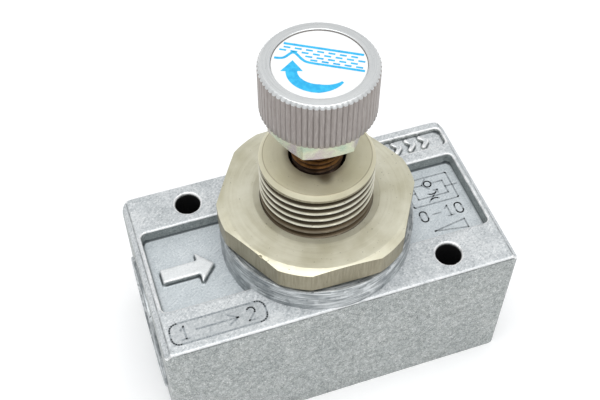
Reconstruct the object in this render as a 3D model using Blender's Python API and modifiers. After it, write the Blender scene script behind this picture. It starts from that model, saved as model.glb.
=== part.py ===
"""One-way flow control valve: a small die-cast body with a throttle spindle in a threaded bonnet.

The origin is the middle of the body's underside, below the spindle. +X is the controlled flow
direction (the raised arrow), +Y is towards the back, +Z is up along the spindle. Metres.
"""

import math

import bmesh
import bpy
from mathutils import Matrix

MM = 0.001
GAP = 0.3 * MM

# Body block
BODY_LENGTH = 59.6 * MM
BODY_WIDTH = 32.0 * MM
BODY_HEIGHT = 28.0 * MM
END_CHAMFER = 1.0 * MM
BACK_CORNER_R = 1.8 * MM
FRONT_CORNER_R = 0.8 * MM

# Ports: G 3/8 thread, 19 turns per inch
PORT_Z = 14.0 * MM
PORT_RING_R = 11.5 * MM
PORT_RING_OUT = 0.5 * MM
PORT_MOUTH_R = 9.1 * MM
PORT_MAJOR_R = 8.33 * MM
PORT_MINOR_R = 7.48 * MM
PORT_PITCH = 25.4 / 19.0 * MM
PORT_TURNS = 4
PORT_DEPTH = 12.0 * MM

# Boss, top pockets and marks
BOSS_R = 15.9 * MM
BOSS_TOP = 32.6 * MM
POCKET_HALF_LENGTH = 28.1 * MM
POCKET_HALF_WIDTH = 8.0 * MM
POCKET_DEPTH = 2.4 * MM
POCKET_CORNER_R = 0.9 * MM
ARROW_RAISE = 0.9 * MM
ARROW_TAIL_X = -26.6 * MM
ARROW_NECK_X = -20.4 * MM
ARROW_TIP_X = -17.7 * MM
ARROW_Y = -0.3 * MM
ARROW_SHAFT_HALF = 1.35 * MM
ARROW_HEAD_HALF = 3.0 * MM
SLOT_X = (13.0 * MM, 28.5 * MM)
SLOT_Y = (10.4 * MM, 14.3 * MM)
SLOT_DEPTH = 1.0 * MM
CHEVRON_RAISE = 0.7 * MM
PLATE_X = (-28.0 * MM, -12.6 * MM)
PLATE_Y = (-14.4 * MM, -10.6 * MM)
PLATE_LINE = 0.3 * MM
PLATE_LINE_DEPTH = 0.25 * MM
MOUNT_HOLE_R = 2.15 * MM
MOUNT_HOLE_X = 18.9 * MM
MOUNT_HOLE_Y = 11.9 * MM

# Passages inside the body
BONNET_BORE_R = 9.3 * MM
CHAMBER_R = 8.0 * MM
CHAMBER_LEDGE_Z = 26.2 * MM
SEAT_Z = 13.5 * MM
SEAT_R = 4.8 * MM
SEAT_RING_R = 6.4 * MM
SEAT_RING_BOTTOM = 11.7 * MM
WELL_FLOOR_Z = 4.8 * MM
INLET_R = 3.9 * MM
INLET_Z = 17.55 * MM
OUTLET_R = 2.9 * MM
OUTLET_Z = 7.8 * MM
PASSAGE_REACH = 18.6 * MM

# Bonnet: M18 x 1.5 outside
BONNET_TOP = 47.1 * MM
BONNET_R = 9.0 * MM
BONNET_ROOT_R = 8.1 * MM
BONNET_PITCH = 1.5 * MM
BONNET_CREST_Z = 44.7 * MM
BONNET_TURNS = 5
SPINDLE_BORE_R = 4.3 * MM
GLAND_R = 5.0 * MM
GLAND_TOP = 35.6 * MM
SPRING_POCKET_R = 6.0 * MM
SPRING_POCKET_TOP = 27.0 * MM

# Panel nut
PANEL_NUT_FLATS = 30.0 * MM
PANEL_NUT_CORNER_R = 16.0 * MM
PANEL_NUT_BOTTOM = 33.3 * MM
PANEL_NUT_TOP = 37.6 * MM
PANEL_NUT_FACE_R = 14.0 * MM
PANEL_NUT_FACE_Z = 32.9 * MM
PANEL_NUT_TURN = math.radians(-1.0)

# Spindle: M8 x 1 thread, plain needle with a tapered flute
SPINDLE_R = 4.0 * MM
SPINDLE_ROOT_R = 3.45 * MM
SPINDLE_PITCH = 1.0 * MM
SPINDLE_TURNS = 7
SPINDLE_COLLAR_R = 4.7 * MM
GROOVE_R = 3.6 * MM
GROOVE_TOP = 32.55 * MM
GROOVE_BOTTOM = 30.2 * MM
SPINDLE_COLLAR_TOP = 33.3 * MM
SPINDLE_COLLAR_BOTTOM = 27.3 * MM
NEEDLE_R = 2.3 * MM
NEEDLE_TIP_Z = 9.5 * MM
FLUTE_END_Z = 15.2 * MM
FLUTE_DEPTH = 1.7 * MM
FLUTE_WIDTH = 1.8 * MM

# Lock nut: M8, 13 mm across flats
LOCK_NUT_FLATS = 13.0 * MM
LOCK_NUT_BOTTOM = 53.2 * MM
LOCK_NUT_TOP = 57.1 * MM
LOCK_NUT_TURN = math.radians(-6.0)

# Knob
KNOB_R = 8.6 * MM
KNURL_DEPTH = 0.28 * MM
KNURL_COUNT = 66
KNOB_BOTTOM = 57.5 * MM
KNOB_TOP = 65.8 * MM
LABEL_R = 6.6 * MM
LABEL_TOP = 65.6 * MM
LABEL_BOTTOM = 65.3 * MM
LABEL_RECESS_R = 6.8 * MM
LABEL_RECESS_Z = 64.9 * MM

# Check valve poppet at its seat
POPPET_R = 6.6 * MM
POPPET_BOTTOM = 13.8 * MM
POPPET_DISC_TOP = 15.6 * MM
POPPET_HUB_TOP = 19.5 * MM
ORIFICE_R = 2.6 * MM
SPRING_MEAN_R = 5.3 * MM
SPRING_WIRE_R = 0.4 * MM
SPRING_TURNS = 6

ROUND_SEGMENTS = 48
SMALL_SEGMENTS = 28


def clear_scene():
    for thing in list(bpy.data.objects):
        bpy.data.objects.remove(thing, do_unlink=True)


def new_collection(name):
    collection = bpy.data.collections.new(name)
    bpy.context.scene.collection.children.link(collection)
    return collection


def material(name, colour, roughness, metallic):
    made = bpy.data.materials.new(name)
    made.use_nodes = True
    shader = made.node_tree.nodes["Principled BSDF"]
    shader.inputs["Base Color"].default_value = (*colour, 1.0)
    shader.inputs["Roughness"].default_value = roughness
    shader.inputs["Metallic"].default_value = metallic
    made.diffuse_color = (*colour, 1.0)
    return made


def add_object(name, data, look=None):
    """A new object in the parts collection, or in the cutters collection if it has no look."""
    thing = bpy.data.objects.new(name, data)
    if look is None:
        CUTTERS.objects.link(thing)
        thing.hide_render = True
        thing.display_type = "WIRE"
    else:
        PARTS.objects.link(thing)
        data.materials.append(look)
    return thing


def smooth(mesh, angle=40.0):
    mesh.shade_smooth()
    mesh.set_sharp_from_angle(angle=math.radians(angle))


def turned(name, profile, look=None, segments=ROUND_SEGMENTS, base=0.0):
    """Turn a profile of (radius, height) about Z. A profile off the axis is closed into a ring."""
    mesh = bpy.data.meshes.new(name)
    shape = bmesh.new()
    ring = []
    for radius, height in profile:
        ring.append(shape.verts.new((radius, 0.0, height - base)))
    for first, second in zip(ring, ring[1:]):
        shape.edges.new((first, second))
    if profile[0][0] > 0.0:
        shape.edges.new((ring[-1], ring[0]))
    shape.to_mesh(mesh)
    shape.free()
    thing = add_object(name, mesh, look)
    thing.location.z = base
    screw = thing.modifiers.new("turn", "SCREW")
    screw.axis = "Z"
    screw.angle = 2.0 * math.pi
    screw.steps = segments
    screw.render_steps = segments
    screw.use_merge_vertices = True
    screw.merge_threshold = 0.00001
    screw.use_smooth_shade = True
    return thing


def slab(name, outline, low, high, look=None):
    """A flat outline thickened from low to high, as a welded mesh."""
    curve = bpy.data.curves.new(name + "_outline", "CURVE")
    curve.dimensions = "2D"
    curve.fill_mode = "BOTH"
    curve.extrude = (high - low) / 2.0
    spline = curve.splines.new("POLY")
    spline.points.add(len(outline) - 1)
    for point, (x, y) in zip(spline.points, outline):
        point.co = (x, y, 0.0, 1.0)
    spline.use_cyclic_u = True
    guide = bpy.data.objects.new(name + "_outline", curve)
    bpy.context.scene.collection.objects.link(guide)
    guide.location.z = (low + high) / 2.0
    bpy.context.view_layer.update()
    evaluated = guide.evaluated_get(bpy.context.evaluated_depsgraph_get())
    mesh = bpy.data.meshes.new_from_object(evaluated)
    mesh.name = name
    shape = bmesh.new()
    shape.from_mesh(mesh)
    bmesh.ops.remove_doubles(shape, verts=shape.verts, dist=0.000001)
    bmesh.ops.recalc_face_normals(shape, faces=shape.faces)
    shape.to_mesh(mesh)
    shape.free()
    mesh.materials.clear()
    thing = add_object(name, mesh, look)
    thing.matrix_world = guide.matrix_world.copy()
    bpy.data.objects.remove(guide, do_unlink=True)
    bpy.data.curves.remove(curve)
    return thing


def rounded_rectangle(x_range, y_range, radius, steps=4):
    """Corner arcs of a rectangle, anticlockwise from the corner at high x and high y."""
    corners = (
        (x_range[1] - radius, y_range[1] - radius, 0.0),
        (x_range[0] + radius, y_range[1] - radius, 90.0),
        (x_range[0] + radius, y_range[0] + radius, 180.0),
        (x_range[1] - radius, y_range[0] + radius, 270.0),
    )
    outline = []
    for x, y, start in corners:
        for step in range(steps + 1):
            angle = math.radians(start + 90.0 * step / steps)
            outline.append((x + radius * math.cos(angle), y + radius * math.sin(angle)))
    return outline


def boolean(target, tool, operation):
    modifier = target.modifiers.new(tool.name, "BOOLEAN")
    modifier.object = tool
    modifier.operation = operation
    modifier.solver = "EXACT"


def rod(name, radius, start, end, segments=ROUND_SEGMENTS):
    """A cutter along Z between two heights."""
    mesh = bpy.data.meshes.new(name)
    shape = bmesh.new()
    bmesh.ops.create_cone(
        shape,
        cap_ends=True,
        segments=segments,
        radius1=radius,
        radius2=radius,
        depth=end - start,
    )
    bmesh.ops.translate(shape, verts=shape.verts, vec=(0.0, 0.0, (start + end) / 2.0))
    shape.to_mesh(mesh)
    shape.free()
    return add_object(name, mesh)


def hexagon(name, across_flats, low, high, turn, look):
    """A hexagonal prism whose first corner lies at angle turn from +X."""
    mesh = bpy.data.meshes.new(name)
    shape = bmesh.new()
    bmesh.ops.create_cone(
        shape,
        cap_ends=True,
        segments=6,
        radius1=across_flats / math.sqrt(3.0),
        radius2=across_flats / math.sqrt(3.0),
        depth=high - low,
    )
    corner = max(shape.verts, key=lambda vert: (vert.co.z, vert.co.x)).co
    turn -= math.atan2(corner.y, corner.x)
    turning = Matrix.Rotation(turn, 3, "Z")
    bmesh.ops.rotate(shape, verts=shape.verts, cent=(0.0, 0.0, 0.0), matrix=turning)
    bmesh.ops.translate(shape, verts=shape.verts, vec=(0.0, 0.0, (high - low) / 2.0))
    shape.to_mesh(mesh)
    shape.free()
    thing = add_object(name, mesh, look)
    thing.location.z = low
    return thing


def o_ring(name, mean_radius, section_radius, height, look, segments=28, sides=8):
    """A round-section ring centred at a height on the spindle axis."""
    profile = []
    for side in range(sides):
        angle = -2.0 * math.pi * side / sides
        x = mean_radius + section_radius * math.cos(angle)
        profile.append((x, height + section_radius * math.sin(angle)))
    return turned(name, profile, look, segments, height)


def thread_profile(crest_r, root_r, first_crest_z, pitch, turns, flat):
    """Ring grooves of a thread, from the first crest down."""
    points = []
    for turn in range(turns):
        crest_z = first_crest_z - turn * pitch
        points.append((crest_r, crest_z + flat / 2.0))
        points.append((crest_r, crest_z - flat / 2.0))
        points.append((root_r, crest_z - pitch / 2.0))
    return points


# ---------------------------------------------------------------- body


def body_block():
    """Block with chamfered top ends, drawn in side view and thickened across the width."""
    half = BODY_LENGTH / 2.0
    outline = [
        (-half, 0.0),
        (half, 0.0),
        (half, BODY_HEIGHT - END_CHAMFER),
        (half - END_CHAMFER, BODY_HEIGHT),
        (-half + END_CHAMFER, BODY_HEIGHT),
        (-half, BODY_HEIGHT - END_CHAMFER),
    ]
    body = slab("valve_body", outline, -BODY_WIDTH / 2.0, BODY_WIDTH / 2.0, ZINC)
    shape = bmesh.new()
    shape.from_mesh(body.data)
    for vert in shape.verts:
        x, y, z = vert.co
        vert.co = (x, -z, y)
    weight = shape.edges.layers.float.new("bevel_weight_edge")
    for edge in shape.edges:
        first, second = (vert.co for vert in edge.verts)
        along_y = abs(first.y - second.y) > 0.001
        at_end = min(abs(first.x), abs(second.x)) > half - 1.1 * END_CHAMFER
        if at_end and not along_y and first.x * second.x > 0.0 and first.z + second.z > 0.001:
            edge[weight] = 1.0 if first.y > 0.0 else FRONT_CORNER_R / BACK_CORNER_R
    shape.to_mesh(body.data)
    shape.free()
    bevel = body.modifiers.new("corners", "BEVEL")
    bevel.limit_method = "WEIGHT"
    bevel.width = BACK_CORNER_R
    bevel.segments = 4
    return body


def port_cutter(name, side):
    """Threaded port bored from an end face along X; side is -1 or 1."""
    face = BODY_LENGTH / 2.0 + PORT_RING_OUT
    profile = [
        (0.0, face + 2.0 * MM),
        (PORT_MOUTH_R, face + 2.0 * MM),
        (PORT_MOUTH_R, face),
        (PORT_MINOR_R, face - (PORT_MOUTH_R - PORT_MINOR_R)),
    ]
    start = face - (PORT_MOUTH_R - PORT_MINOR_R) - 0.2 * MM
    for turn in range(PORT_TURNS):
        top = start - turn * PORT_PITCH
        profile.append((PORT_MINOR_R, top))
        profile.append((PORT_MAJOR_R, top - PORT_PITCH * 0.5))
    profile.append((PORT_MINOR_R, start - PORT_TURNS * PORT_PITCH))
    profile.append((PORT_MINOR_R, face - PORT_DEPTH))
    profile.append((0.0, face - PORT_DEPTH))
    cutter = turned(name, profile, segments=36)
    cutter.rotation_euler = (0.0, side * math.pi / 2.0, 0.0)
    cutter.location.z = PORT_Z
    return cutter


def plate_line():
    """Thin frame line let into the top face, front left."""
    inner_x = (PLATE_X[0] + PLATE_LINE, PLATE_X[1] - PLATE_LINE)
    inner_y = (PLATE_Y[0] + PLATE_LINE, PLATE_Y[1] - PLATE_LINE)
    low = BODY_HEIGHT - PLATE_LINE_DEPTH
    high = BODY_HEIGHT + 0.5 * MM
    outer = slab("plate_line_outer", rounded_rectangle(PLATE_X, PLATE_Y, 1.3 * MM), low, high)
    inside = rounded_rectangle(inner_x, inner_y, 1.0 * MM)
    inner = slab("plate_line_inner", inside, low - MM, high + MM)
    boolean(outer, inner, "DIFFERENCE")
    return outer


def arrow_outline():
    return [
        (ARROW_TAIL_X, ARROW_Y - ARROW_SHAFT_HALF),
        (ARROW_NECK_X, ARROW_Y - ARROW_SHAFT_HALF),
        (ARROW_NECK_X, ARROW_Y - ARROW_HEAD_HALF),
        (ARROW_TIP_X, ARROW_Y),
        (ARROW_NECK_X, ARROW_Y + ARROW_HEAD_HALF),
        (ARROW_NECK_X, ARROW_Y + ARROW_SHAFT_HALF),
        (ARROW_TAIL_X, ARROW_Y + ARROW_SHAFT_HALF),
    ]


def chevron_outline(x, y, reach, half_height, stroke):
    return [
        (x, y - half_height),
        (x + stroke, y - half_height),
        (x + stroke + reach, y),
        (x + stroke, y + half_height),
        (x, y + half_height),
        (x + reach, y),
    ]


def build_body():
    body = body_block()
    pocket_low = BODY_HEIGHT - POCKET_DEPTH
    above = BODY_HEIGHT + 1.0 * MM
    pocket_y = (-POCKET_HALF_WIDTH, POCKET_HALF_WIDTH)
    for name, x_range in (
        ("left_pocket", (-POCKET_HALF_LENGTH, -10.0 * MM)),
        ("right_pocket", (10.0 * MM, POCKET_HALF_LENGTH)),
    ):
        outline = rounded_rectangle(x_range, pocket_y, POCKET_CORNER_R)
        boolean(body, slab(name, outline, pocket_low, above), "DIFFERENCE")
    slot = slab(
        "mark_slot",
        rounded_rectangle(SLOT_X, SLOT_Y, 1.0 * MM),
        BODY_HEIGHT - SLOT_DEPTH,
        above,
    )
    boolean(body, slot, "DIFFERENCE")
    boolean(body, plate_line(), "DIFFERENCE")

    boss = rod("boss_blank", BOSS_R, 22.0 * MM, BOSS_TOP, 64)
    boolean(body, boss, "UNION")
    face = BODY_LENGTH / 2.0 + PORT_RING_OUT
    rings = rod("port_rings", PORT_RING_R, -face, face)
    rings.rotation_euler = (0.0, math.pi / 2.0, 0.0)
    rings.location.z = PORT_Z
    boolean(body, rings, "UNION")
    arrow = slab("flow_arrow", arrow_outline(), pocket_low - 0.5 * MM, pocket_low + ARROW_RAISE)
    boolean(body, arrow, "UNION")
    slot_floor = BODY_HEIGHT - SLOT_DEPTH
    for number in range(4):
        x = (17.2 + 2.6 * number) * MM
        outline = chevron_outline(x, sum(SLOT_Y) / 2.0, 1.1 * MM, 1.1 * MM, 0.8 * MM)
        name = "chevron_%d" % (number + 1)
        mark = slab(name, outline, slot_floor - 0.5 * MM, slot_floor + CHEVRON_RAISE)
        boolean(body, mark, "UNION")

    bore = turned(
        "spindle_bore",
        [
            (0.0, BOSS_TOP + 2.0 * MM),
            (BONNET_BORE_R + 0.6 * MM, BOSS_TOP + 2.0 * MM),
            (BONNET_BORE_R + 0.6 * MM, BOSS_TOP),
            (BONNET_BORE_R, BOSS_TOP - 0.6 * MM),
            (BONNET_BORE_R, CHAMBER_LEDGE_Z),
            (CHAMBER_R, CHAMBER_LEDGE_Z),
            (CHAMBER_R, SEAT_Z - 0.3 * MM),
            (SEAT_RING_R + 0.2 * MM, SEAT_Z - 0.3 * MM),
            (SEAT_RING_R + 0.2 * MM, SEAT_RING_BOTTOM - 0.2 * MM),
            (SEAT_R, SEAT_RING_BOTTOM - 0.2 * MM),
            (SEAT_R, WELL_FLOOR_Z),
            (0.0, WELL_FLOOR_Z),
        ],
    )
    boolean(body, bore, "DIFFERENCE")
    for name, radius, height, side in (
        ("inlet_passage", INLET_R, INLET_Z, -1.0),
        ("outlet_passage", OUTLET_R, OUTLET_Z, 1.0),
    ):
        passage = rod(name, radius, 0.0, PASSAGE_REACH, 24)
        passage.rotation_euler = (0.0, side * math.pi / 2.0, 0.0)
        passage.location.z = height
        boolean(body, passage, "DIFFERENCE")
    boolean(body, port_cutter("port_1_thread", -1.0), "DIFFERENCE")
    boolean(body, port_cutter("port_2_thread", 1.0), "DIFFERENCE")
    for number, side in ((1, -1.0), (2, 1.0)):
        hole = rod("mount_hole_%d" % number, MOUNT_HOLE_R, -1.0 * MM, 30.0 * MM, 24)
        hole.location.x = side * MOUNT_HOLE_X
        hole.location.y = -side * MOUNT_HOLE_Y
        boolean(body, hole, "DIFFERENCE")
    smooth(body.data)
    return body


# ---------------------------------------------------------------- bonnet and panel nut


def build_bonnet():
    profile = [
        (4.7 * MM, BONNET_TOP),
        (BONNET_R - 0.6 * MM, BONNET_TOP),
        (BONNET_R, BONNET_TOP - 0.6 * MM),
        (BONNET_R, BONNET_CREST_Z + 0.95 * MM),
        (BONNET_ROOT_R, BONNET_CREST_Z + 0.6 * MM),
    ]
    profile += thread_profile(
        BONNET_R, BONNET_ROOT_R, BONNET_CREST_Z, BONNET_PITCH, BONNET_TURNS, 0.35 * MM
    )
    profile += [
        (BONNET_R, BONNET_CREST_Z - (BONNET_TURNS - 0.1) * BONNET_PITCH),
        (BONNET_R, 26.9 * MM),
        (BONNET_R - 0.4 * MM, CHAMBER_LEDGE_Z + GAP),
        (7.7 * MM, CHAMBER_LEDGE_Z + GAP),
        (7.7 * MM, 25.0 * MM),
        (6.8 * MM, 25.0 * MM),
        (6.8 * MM, 23.2 * MM),
        (7.7 * MM, 23.2 * MM),
        (7.7 * MM, 22.4 * MM),
        (7.3 * MM, 22.0 * MM),
        (SPRING_POCKET_R, 22.0 * MM),
        (SPRING_POCKET_R, SPRING_POCKET_TOP),
        (GLAND_R, SPRING_POCKET_TOP),
        (GLAND_R, GLAND_TOP),
        (SPINDLE_BORE_R, GLAND_TOP),
        (SPINDLE_BORE_R, BONNET_TOP - 0.5 * MM),
    ]
    bonnet = turned("bonnet", profile, CHAMPAGNE, 40, 22.0 * MM)
    o_ring("bonnet_o_ring", 7.4 * MM, 0.45 * MM, 24.1 * MM, RUBBER)
    return bonnet


def build_panel_nut():
    nut = hexagon(
        "panel_nut", PANEL_NUT_FLATS, PANEL_NUT_FACE_Z, PANEL_NUT_TOP, PANEL_NUT_TURN, CHAMPAGNE_NUT
    )
    blank = turned(
        "panel_nut_blank",
        [
            (0.0, PANEL_NUT_TOP + MM),
            (14.6 * MM - 0.2 * MM, PANEL_NUT_TOP + MM),
            (14.6 * MM, PANEL_NUT_TOP),
            (PANEL_NUT_CORNER_R, PANEL_NUT_TOP - 0.5 * MM),
            (PANEL_NUT_CORNER_R, PANEL_NUT_BOTTOM + 0.2 * MM),
            (PANEL_NUT_CORNER_R - 0.2 * MM, PANEL_NUT_BOTTOM),
            (PANEL_NUT_FACE_R, PANEL_NUT_BOTTOM),
            (PANEL_NUT_FACE_R, PANEL_NUT_FACE_Z - MM),
            (0.0, PANEL_NUT_FACE_Z - MM),
        ],
        segments=72,
    )
    boolean(nut, blank, "INTERSECT")
    bore = turned(
        "panel_nut_bore",
        [
            (0.0, PANEL_NUT_TOP + MM),
            (BONNET_BORE_R + 0.9 * MM, PANEL_NUT_TOP + MM),
            (BONNET_BORE_R + 0.9 * MM, PANEL_NUT_TOP),
            (BONNET_BORE_R, PANEL_NUT_TOP - 0.9 * MM),
            (BONNET_BORE_R, PANEL_NUT_FACE_Z - MM),
            (0.0, PANEL_NUT_FACE_Z - MM),
        ],
    )
    boolean(nut, bore, "DIFFERENCE")
    return nut


# ---------------------------------------------------------------- spindle group


def build_spindle():
    thread_top = LOCK_NUT_BOTTOM + 0.6 * MM
    profile = [
        (0.0, 53.0 * MM),
        (1.8 * MM, 53.0 * MM),
        (1.8 * MM, 60.0 * MM),
        (2.7 * MM, 60.0 * MM),
        (3.0 * MM, 59.7 * MM),
        (3.0 * MM, KNOB_BOTTOM - GAP),
        (SPINDLE_R - 0.3 * MM, KNOB_BOTTOM - GAP),
        (SPINDLE_R, KNOB_BOTTOM - 2.0 * GAP),
        (SPINDLE_R, thread_top + 0.5 * SPINDLE_PITCH),
        (SPINDLE_ROOT_R, thread_top + 0.25 * SPINDLE_PITCH),
    ]
    for turn in range(SPINDLE_TURNS):
        crest_z = thread_top - (turn + 0.25) * SPINDLE_PITCH
        profile.append((SPINDLE_R, crest_z))
        profile.append((SPINDLE_ROOT_R, crest_z - 0.5 * SPINDLE_PITCH))
    profile += [
        (SPINDLE_R, thread_top - (SPINDLE_TURNS + 0.25) * SPINDLE_PITCH),
        (SPINDLE_R, 41.0 * MM),
        (3.3 * MM, 40.3 * MM),
        (3.3 * MM, SPINDLE_COLLAR_TOP),
        (SPINDLE_COLLAR_R, SPINDLE_COLLAR_TOP),
        (SPINDLE_COLLAR_R, GROOVE_TOP),
        (GROOVE_R, GROOVE_TOP),
        (GROOVE_R, GROOVE_BOTTOM),
        (SPINDLE_COLLAR_R, GROOVE_BOTTOM),
        (SPINDLE_COLLAR_R, SPINDLE_COLLAR_BOTTOM + 0.3 * MM),
        (SPINDLE_COLLAR_R - 0.3 * MM, SPINDLE_COLLAR_BOTTOM),
        (NEEDLE_R, SPINDLE_COLLAR_BOTTOM),
        (NEEDLE_R, NEEDLE_TIP_Z + 0.5 * MM),
        (NEEDLE_R - 0.5 * MM, NEEDLE_TIP_Z),
        (0.0, NEEDLE_TIP_Z),
    ]
    spindle = turned("throttle_spindle", profile, BRASS, SMALL_SEGMENTS)
    slope = FLUTE_DEPTH / (FLUTE_END_Z - NEEDLE_TIP_Z)
    low = NEEDLE_TIP_Z - 0.5 * MM
    inner = NEEDLE_R - FLUTE_DEPTH - 0.5 * MM * slope
    outer = NEEDLE_R + 1.0 * MM
    outline = [(inner, low), (outer, low), (outer, low + (outer - inner) / slope)]
    flute = slab("needle_flute", outline, -FLUTE_WIDTH / 2.0, FLUTE_WIDTH / 2.0)
    flute.rotation_euler = (math.pi / 2.0, 0.0, 0.0)
    flute.location.z = 0.0
    boolean(spindle, flute, "DIFFERENCE")
    return spindle


def build_spindle_rings():
    """O-ring with a flat back-up ring above it, both in the collar's groove."""
    o_ring("spindle_o_ring", 4.25 * MM, 0.5 * MM, 30.85 * MM, RUBBER_DARK)
    profile = [
        (GROOVE_R + 0.15 * MM, 32.35 * MM),
        (GLAND_R - 0.15 * MM, 32.35 * MM),
        (GLAND_R - 0.15 * MM, 31.55 * MM),
        (GROOVE_R + 0.15 * MM, 31.55 * MM),
    ]
    turned("spindle_back_up_ring", profile, PTFE, SMALL_SEGMENTS, 31.55 * MM)


def build_lock_nut():
    nut = hexagon(
        "lock_nut", LOCK_NUT_FLATS, LOCK_NUT_BOTTOM, LOCK_NUT_TOP, LOCK_NUT_TURN, PLATED_STEEL
    )
    corner = LOCK_NUT_FLATS / math.sqrt(3.0)
    edge = 6.3 * MM
    drop = (corner + 0.2 * MM - edge) * math.tan(math.radians(30.0))
    blank = turned(
        "lock_nut_blank",
        [
            (0.0, LOCK_NUT_TOP + MM),
            (edge - 0.1 * MM, LOCK_NUT_TOP + MM),
            (edge, LOCK_NUT_TOP),
            (corner + 0.2 * MM, LOCK_NUT_TOP - drop),
            (corner + 0.2 * MM, LOCK_NUT_BOTTOM + drop),
            (edge, LOCK_NUT_BOTTOM),
            (edge - 0.1 * MM, LOCK_NUT_BOTTOM - MM),
            (0.0, LOCK_NUT_BOTTOM - MM),
        ],
        segments=36,
    )
    boolean(nut, blank, "INTERSECT")
    bore_r = SPINDLE_R + GAP
    bore = turned(
        "lock_nut_bore",
        [
            (0.0, LOCK_NUT_TOP + MM),
            (bore_r + 0.4 * MM, LOCK_NUT_TOP + MM),
            (bore_r + 0.4 * MM, LOCK_NUT_TOP),
            (bore_r, LOCK_NUT_TOP - 0.4 * MM),
            (bore_r, LOCK_NUT_BOTTOM + 0.4 * MM),
            (bore_r + 0.4 * MM, LOCK_NUT_BOTTOM),
            (bore_r + 0.4 * MM, LOCK_NUT_BOTTOM - MM),
            (0.0, LOCK_NUT_BOTTOM - MM),
        ],
        segments=SMALL_SEGMENTS,
    )
    boolean(nut, bore, "DIFFERENCE")
    return nut


def build_knob():
    """Straight-knurled knob: a ridged outline trimmed to a chamfered turned blank."""
    outline = []
    for step in range(2 * KNURL_COUNT):
        angle = math.pi * step / KNURL_COUNT
        radius = KNOB_R if step % 2 == 0 else KNOB_R - KNURL_DEPTH
        outline.append((radius * math.cos(angle), radius * math.sin(angle)))
    knob = slab("adjusting_knob", outline, KNOB_BOTTOM, KNOB_TOP, ALUMINIUM)
    blank = turned(
        "knob_blank",
        [
            (0.0, KNOB_TOP + MM),
            (7.5 * MM, KNOB_TOP + MM),
            (8.15 * MM, KNOB_TOP),
            (KNOB_R + 0.05 * MM, KNOB_TOP - 0.55 * MM),
            (KNOB_R + 0.05 * MM, KNOB_BOTTOM + 0.25 * MM),
            (KNOB_R - 0.25 * MM, KNOB_BOTTOM),
            (KNOB_R - 1.45 * MM, KNOB_BOTTOM - MM),
            (0.0, KNOB_BOTTOM - MM),
        ],
        segments=2 * KNURL_COUNT,
    )
    boolean(knob, blank, "INTERSECT")
    hollow = turned(
        "knob_hollow",
        [
            (0.0, KNOB_TOP + MM),
            (LABEL_RECESS_R, KNOB_TOP + MM),
            (LABEL_RECESS_R, LABEL_RECESS_Z),
            (3.2 * MM, LABEL_RECESS_Z),
            (3.2 * MM, 61.9 * MM),
            (1.8 * MM, 61.9 * MM),
            (1.8 * MM, 60.3 * MM),
            (3.3 * MM, 60.3 * MM),
            (3.3 * MM, KNOB_BOTTOM - MM),
            (0.0, KNOB_BOTTOM - MM),
        ],
    )
    boolean(knob, hollow, "DIFFERENCE")
    return knob


def build_knob_screw():
    screw = turned(
        "knob_screw",
        [
            (0.0, 64.4 * MM),
            (2.5 * MM, 64.4 * MM),
            (2.8 * MM, 64.1 * MM),
            (2.8 * MM, 62.2 * MM),
            (1.5 * MM, 62.2 * MM),
            (1.5 * MM, 54.4 * MM),
            (1.1 * MM, 54.0 * MM),
            (0.0, 54.0 * MM),
        ],
        SCREW_STEEL,
        SMALL_SEGMENTS,
        62.2 * MM,
    )
    x, y = 3.2 * MM, 0.4 * MM
    outline = [(-x, -y), (x, -y), (x, y), (-x, y)]
    boolean(screw, slab("screw_slot", outline, 63.4 * MM, 65.0 * MM), "DIFFERENCE")
    return screw


def build_label():
    profile = [(0.0, LABEL_TOP), (LABEL_R, LABEL_TOP), (LABEL_R, LABEL_BOTTOM), (0.0, LABEL_BOTTOM)]
    return turned("knob_label", profile, LABEL, 44, LABEL_BOTTOM)


# ---------------------------------------------------------------- check valve


def build_seat_ring():
    """Ring pressed into the web between the two chambers."""
    profile = [
        (SEAT_R, SEAT_Z),
        (SEAT_RING_R, SEAT_Z),
        (SEAT_RING_R, SEAT_RING_BOTTOM),
        (SEAT_R, SEAT_RING_BOTTOM),
    ]
    turned("seat_ring", profile, SEAT_BRASS, 36, SEAT_RING_BOTTOM)


def build_check_valve():
    turned(
        "check_poppet",
        [
            (3.3 * MM, POPPET_HUB_TOP),
            (4.3 * MM, POPPET_HUB_TOP),
            (4.3 * MM, POPPET_DISC_TOP),
            (POPPET_R, POPPET_DISC_TOP),
            (POPPET_R, POPPET_BOTTOM),
            (6.2 * MM, POPPET_BOTTOM),
            (6.2 * MM, 14.8 * MM),
            (5.1 * MM, 14.8 * MM),
            (5.1 * MM, POPPET_BOTTOM),
            (4.4 * MM, 13.6 * MM),
            (4.4 * MM, 12.4 * MM),
            (4.2 * MM, 12.2 * MM),
            (ORIFICE_R, 12.2 * MM),
            (ORIFICE_R, 13.6 * MM),
            (3.3 * MM, 14.3 * MM),
        ],
        PLASTIC,
        36,
        POPPET_BOTTOM,
    )
    o_ring("poppet_seal", 5.65 * MM, 0.4 * MM, 14.1 * MM, RUBBER_SEAL)
    build_spring()


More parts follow.
